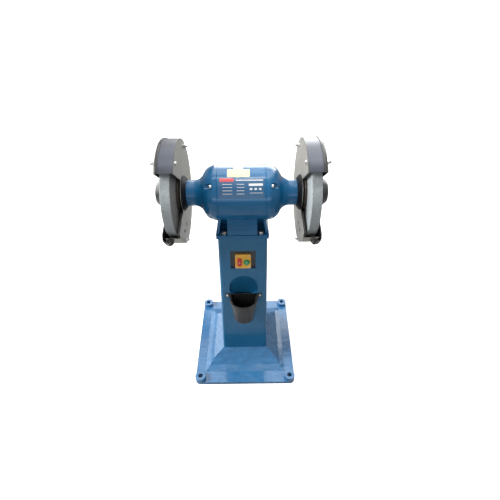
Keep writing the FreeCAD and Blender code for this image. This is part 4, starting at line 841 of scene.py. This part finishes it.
M3_PITCH, M5_PITCH, M6_PITCH, M8_PITCH, M12_PITCH = 0.5 * MM, 0.8 * MM, 1.0 * MM, 1.25 * MM, 1.75 * MM
M8_BORE, M12_BORE = 4.1 * MM, 6.1 * MM
replace_fasteners("motor_foot_bolts", "hex", UP, M12_PITCH, 3)
replace_fasteners("guard_tie_bolts", "hex", SPINDLE, M8_PITCH, 5)
replace_fasteners("tool_rest_bolts", "hex", OUT_OF_TAB, M12_PITCH, 7, REST_BOLT)
replace_fasteners("end_bell_bolts", "socket", SPINDLE, M6_PITCH, 11)
replace_fasteners("pot_screws", "cross", INTO_COLUMN, M5_PITCH, 13)
replace_fasteners("switch_screws", "cross", INTO_COLUMN, M3_PITCH, 17)
replace_fasteners("rear_cover_screws", "cross", OUT_OF_BACK, M5_PITCH, 19)
replace_nuts("guard_tie_nuts", SPINDLE, M8_BORE, M8_PITCH, 23)
replace_nuts("tool_rest_nuts", OUT_OF_TAB, M12_BORE, M12_PITCH, 29, REST_BOLT)


# ---- printing and film on the motor -------------------------------------------------------------

def barrel_patch(name, x, angles, radius, thickness, material, corner=0.0):
    """A thin curved patch on the barrel. Angles are degrees above the front horizontal."""
    columns, rows = 24, max(4, round(abs(angles[1] - angles[0])))
    width = x[1] - x[0]
    drop = abs(math.radians(angles[1] - angles[0])) * radius
    points, faces = [], []
    for level in (radius, radius + thickness):
        for row in range(rows + 1):
            share = row / rows
            edge = min(share, 1 - share) * drop
            inset = corner - math.sqrt(max(0.0, corner ** 2 - (corner - edge) ** 2)) if edge < corner else 0.0
            angle = math.radians(angles[0] + (angles[1] - angles[0]) * share)
            for column in range(columns + 1):
                across = x[0] + inset + (width - 2 * inset) * column / columns
                points.append((across, -level * math.cos(angle), AXIS_Z + level * math.sin(angle)))
    layer = (rows + 1) * (columns + 1)

    def at(level, row, column):
        return level * layer + row * (columns + 1) + column

    for row in range(rows):
        for column in range(columns):
            for level in (0, 1):
                faces.append((at(level, row, column), at(level, row, column + 1),
                              at(level, row + 1, column + 1), at(level, row + 1, column)))
    for row in range(rows):
        for column in (0, columns):
            faces.append((at(0, row, column), at(1, row, column),
                          at(1, row + 1, column), at(0, row + 1, column)))
    for column in range(columns):
        for row in (0, rows):
            faces.append((at(0, row, column), at(1, row, column),
                          at(1, row, column + 1), at(0, row, column + 1)))
    return make_piece(name, points, faces, material)


def join(name, pieces):
    """One object from several."""
    work = bmesh.new()
    materials = []
    for piece in pieces:
        start = len(work.faces)
        work.from_mesh(piece.data)
        work.faces.ensure_lookup_table()
        offset = len(materials)
        for face in work.faces[start:]:
            face.material_index += offset
        materials += list(piece.data.materials)
        bpy.data.objects.remove(piece)
    mesh = bpy.data.meshes.new(name)
    work.to_mesh(mesh)
    work.free()
    for material in materials:
        mesh.materials.append(material)
    joined = bpy.data.objects.new(name, mesh)
    bpy.context.collection.objects.link(joined)
    return joined


PRINT = 0.12 * MM
FILM = 0.15 * MM
PLATE_THICKNESS = 0.6 * MM


def make_plate_print():
    """A ruled blank rating plate: a red block, rules to fill in and a white field. It holds no words."""
    face = BARREL_RADIUS + PLATE_THICKNESS
    left, right = PLATE_LOW.x, PLATE_HIGH.x
    width = right - left

    def patch(x, angles, material, corner=0.0):
        spans = (left + width * x[0], left + width * x[1])
        return barrel_patch("print", spans, angles, face - 0.02 * MM, PRINT, material, corner)

    bits = [patch((0.02, 0.33), (49.5, 57.0), PRINT_RED, 1.2 * MM)]
    bits.append(patch((0.38, 0.97), (51.6, 53.4), MARK_WHITE))
    for row in range(4):
        high = 44.8 - row * 6.2
        bits.append(patch((0.09, 0.30), (high - 0.9, high), MARK_WHITE))
        bits.append(patch((0.40, 0.56), (high - 0.9, high), MARK_WHITE))
    bits.append(patch((0.66, 0.97), (41.0, 45.6), MARK_WHITE, 0.6 * MM))
    for column in range(3):
        start = 0.68 + column * 0.10
        bits.append(patch((start, start + 0.06), (33.0, 37.0), MARK_WHITE, 1.6 * MM))
    bits.append(patch((0.68, 0.97), (27.0, 27.8), MARK_WHITE))
    plate = join("plate_print", bits)
    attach(plate, "stand")


def make_film():
    """A pale film stuck above the rating plate: a wide band with a tab."""
    def strip(name, x, angles):
        return barrel_patch(name, x, angles, BARREL_RADIUS, FILM, FILM_YELLOW, 1 * MM)

    band = strip("film_band", (-46 * MM, 27 * MM), (60.0, 81.0))
    tab = strip("film_tab", (-26 * MM, 3 * MM), (80.8, 97.0))
    film = join("yellow_film", [band, tab])
    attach(film, "stand")


make_plate_print()
make_film()


# ---- buttons ------------------------------------------------------------------------------------

def rounded_outline(half_x, half_y, corner, steps=10):
    points = []
    for quarter, (sx, sy) in enumerate(((1, 1), (-1, 1), (-1, -1), (1, -1))):
        for step in range(steps + 1):
            turn = math.pi / 2 * (quarter + step / steps)
            points.append((sx * (half_x - corner) + corner * math.cos(turn),
                           sy * (half_y - corner) + corner * math.sin(turn)))
    return points


def cap_rings(half_x, half_y, corner, height, crown):
    """Rings of a button cap, with rounded top edges and a slight crown."""
    side = [(0, 0), (0, height - 1.5 * MM), (0.2 * MM, height - 0.8 * MM), (0.7 * MM, height - 0.25 * MM)]
    top = [(1.5 * MM, height), (0.5 * half_x, height + crown * 0.8), (0.98 * half_x, height + crown)]
    rings = []
    for inset, z in side + top:
        x, y = half_x - inset, half_y - inset
        outline = rounded_outline(x, y, max(0.02 * MM, min(corner, x) * 0.999))
        rings.append([(px, py, z) for px, py in outline])
    return rings


MARK_THICKNESS = 0.12 * MM


def make_button(node, material, half_x, half_y, corner, mark):
    """A crowned cap with a raised mark on a leaning axis."""
    heights, _, centre = along_axis(node_points(node), -INTO_COLUMN)
    depth = heights.max() - heights.min()
    rings = cap_rings(half_x, half_y, corner, depth - 0.5 * MM, 0.4 * MM)
    around = len(rings[0])
    points = [point for ring in rings for point in ring]
    faces = turned_faces(len(rings), around)
    faces.append(tuple(reversed(range(around))))
    faces.append(tuple(range((len(rings) - 1) * around, len(rings) * around)))
    cap = make_piece(node + "_cap", points, faces, material)
    place = towards(-INTO_COLUMN, Vector(centre) - INTO_COLUMN * heights.min())
    cap.data.transform(place)
    sign = make_mark(mark, depth - MARK_THICKNESS)
    sign.data.transform(place)
    button = join(node + "_fine", [cap, sign])
    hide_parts(node)
    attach(button, node)


def make_mark(kind, foot):
    """A plain bar or ring, the usual marks for on and off."""
    if kind == "bar":
        outline = rounded_outline(0.7 * MM, 3.6 * MM, 0.5 * MM, 4)
        rings = [[(x, y, z) for x, y in outline] for z in (foot, foot + MARK_THICKNESS)]
        around = len(outline)
        faces = turned_faces(2, around) + [tuple(range(around)), tuple(range(around, 2 * around))]
    else:
        around, bore, rim = 40, 2.2, 3.4
        turns = [math.tau * i / around for i in range(around)]
        rings = []
        for radius, z in ((bore, 0), (rim, 0), (rim, MARK_THICKNESS), (bore, MARK_THICKNESS), (bore, 0)):
            rings.append([(radius * MM * math.cos(t), radius * MM * math.sin(t), foot + z) for t in turns])
        faces = turned_faces(5, around)
    return make_piece("mark", [point for ring in rings for point in ring], faces, MARK_WHITE)


make_button("stop_button", BUTTON_RED, 8 * MM, 16 * MM, 4 * MM, "ring")
make_button("start_button", BUTTON_GREEN, 11 * MM, 11 * MM, 10.99 * MM, "bar")


# ---- stage --------------------------------------------------------------------------------------

def white_where_seen(graph, lit, seen, colour):
    """Light at one strength for what it falls on, and at another for what the camera and mirrors see."""
    path = graph.add("ShaderNodeLightPath").outputs
    direct = graph.math("MAXIMUM", path["Is Camera Ray"], path["Is Glossy Ray"])
    direct = graph.math("MAXIMUM", direct, path["Is Transmission Ray"])
    strength = graph.add("ShaderNodeMapRange", {"Value": direct, "To Min": lit, "To Max": seen})
    values = {"Color": colour, "Strength": strength.outputs["Result"]}
    return graph.add("ShaderNodeBackground", values).outputs[0]


def make_world():
    world = bpy.data.worlds.new("studio")
    world.use_nodes = True
    bpy.context.scene.world = world
    graph = Graph(world.node_tree)
    sky = white_where_seen(graph, 0.14, 1.0, (1.0, 1.0, 1.0, 1))
    graph.add("ShaderNodeOutputWorld", {"Surface": sky})


def make_floor():
    """A pale sweep: a floor that rises behind into a backdrop."""
    half, front, back, radius, height, steps = 6.0, -6.0, 3.5, 1.5, 6.0, 12
    profile = [(front, 0.0), (back - radius, 0.0)]
    for step in range(1, steps + 1):
        turn = math.pi / 2 * step / steps
        profile.append((back - radius + radius * math.sin(turn), radius - radius * math.cos(turn)))
    profile.append((back, height))
    points = [(x, y, z) for y, z in profile for x in (-half, half)]
    faces = [(2 * i, 2 * i + 1, 2 * i + 3, 2 * i + 2) for i in range(len(profile) - 1)]
    mesh = bpy.data.meshes.new("sweep")
    mesh.from_pydata(points, [], faces)
    sweep = bpy.data.objects.new("sweep", mesh)
    bpy.context.collection.objects.link(sweep)
    mesh.polygons.foreach_set("use_smooth", [True] * len(mesh.polygons))
    material = bpy.data.materials.new("sweep_paper")
    material.use_nodes = True
    graph = Graph(material.node_tree)
    path = graph.add("ShaderNodeLightPath").outputs
    seen = path["Is Camera Ray"]
    shown = graph.math("MAXIMUM", seen, path["Is Glossy Ray"])
    tone = graph.mix(shown, (0.35, 0.35, 0.35, 1), (0.80, 0.80, 0.80, 1))
    paper = graph.add("ShaderNodeBsdfDiffuse", {"Color": tone}).outputs[0]
    glow = graph.math("MULTIPLY", seen, 0.85)
    lift = graph.add("ShaderNodeEmission", {"Color": (1, 1, 1, 1), "Strength": glow})
    both_lights = graph.add("ShaderNodeAddShader", {0: paper, 1: lift.outputs[0]})
    graph.add("ShaderNodeOutputMaterial", {"Surface": both_lights.outputs[0]})
    mesh.materials.append(material)


def softbox(name, place, target, size, power, colour=(1, 1, 1), spread="both"):
    """A rectangle of light. Its spread is light, shine (seen only in glossy surfaces) or both."""
    light = bpy.data.lights.new(name, "AREA")
    light.shape = "RECTANGLE"
    light.size, light.size_y = size
    light.energy = power
    light.color = colour
    lamp = bpy.data.objects.new(name, light)
    bpy.context.collection.objects.link(lamp)
    direction = Vector(target) - Vector(place)
    lamp.matrix_world = Matrix.Translation(place) @ direction.to_track_quat("-Z", "Y").to_matrix().to_4x4()
    lamp.visible_camera = False
    lamp.visible_diffuse = spread != "shine"
    lamp.visible_glossy = spread != "light"


def make_lights():
    motor = (0, 0, 0.75)
    softbox("overhead", (0, -0.02, 2.5), motor, (1.4, 0.14), 13)
    softbox("ceiling", (0, 0.5, 2.7), motor, (2.4, 1.6), 20, spread="light")
    softbox("key_left", (-2.6, -0.2, 2.0), (0, 0, 0.5), (1.2, 1.4), 135, (1.0, 0.99, 0.97))
    softbox("key_right", (2.6, -0.1, 2.2), (0, 0, 0.5), (1.2, 1.2), 17)
    softbox("front_fill", (-0.3, -3.2, 2.0), motor, (2.4, 1.0), 24, spread="light")
    softbox("back_shine", (0.85, 2.4, 1.8), motor, (3.2, 1.8), 145, spread="shine")
    softbox("upper_shine", (0.3, 1.0, 2.8), motor, (2.6, 1.4), 60, spread="shine")
    softbox("front_shine", (0.1, -0.8, 2.9), motor, (2.2, 1.2), 8, spread="shine")
    softbox("left_shine", (-2.6, 1.7, 0.9), (0, 0, 0.2), (2.2, 1.6), 70, spread="shine")
    softbox("right_shine", (2.6, 1.7, 0.9), (0, 0, 0.2), (2.2, 1.6), 8, spread="shine")
    softbox("low_shine", (0, -3.0, 0.86), motor, (3.2, 0.3), 18, spread="shine")


def make_camera():
    """Stands in front, a little right of the middle, and looks down at the motor."""
    place = Vector((20.65, -1088.9, 1381.3)) * MM
    pitch, yaw, roll = math.radians(37.70), math.radians(0.295), math.radians(-0.42)
    sensor, focal_share = 36, 355.29 / 500
    forward = Vector((math.sin(yaw) * math.cos(pitch), math.cos(yaw) * math.cos(pitch), -math.sin(pitch)))
    right = Vector((math.cos(yaw), -math.sin(yaw), 0))
    up = right.cross(forward)
    right, up = right * math.cos(roll) + up * math.sin(roll), up * math.cos(roll) - right * math.sin(roll)
    data = bpy.data.cameras.new("camera")
    data.sensor_width = sensor
    data.lens = sensor * focal_share
    camera = bpy.data.objects.new("camera", data)
    bpy.context.collection.objects.link(camera)
    turn = Matrix((right, up, -forward)).transposed().to_4x4()
    camera.matrix_world = Matrix.Translation(place) @ turn
    bpy.context.scene.camera = camera


make_world()
make_floor()
make_lights()
make_camera()
bpy.context.scene.view_settings.view_transform = "Standard"
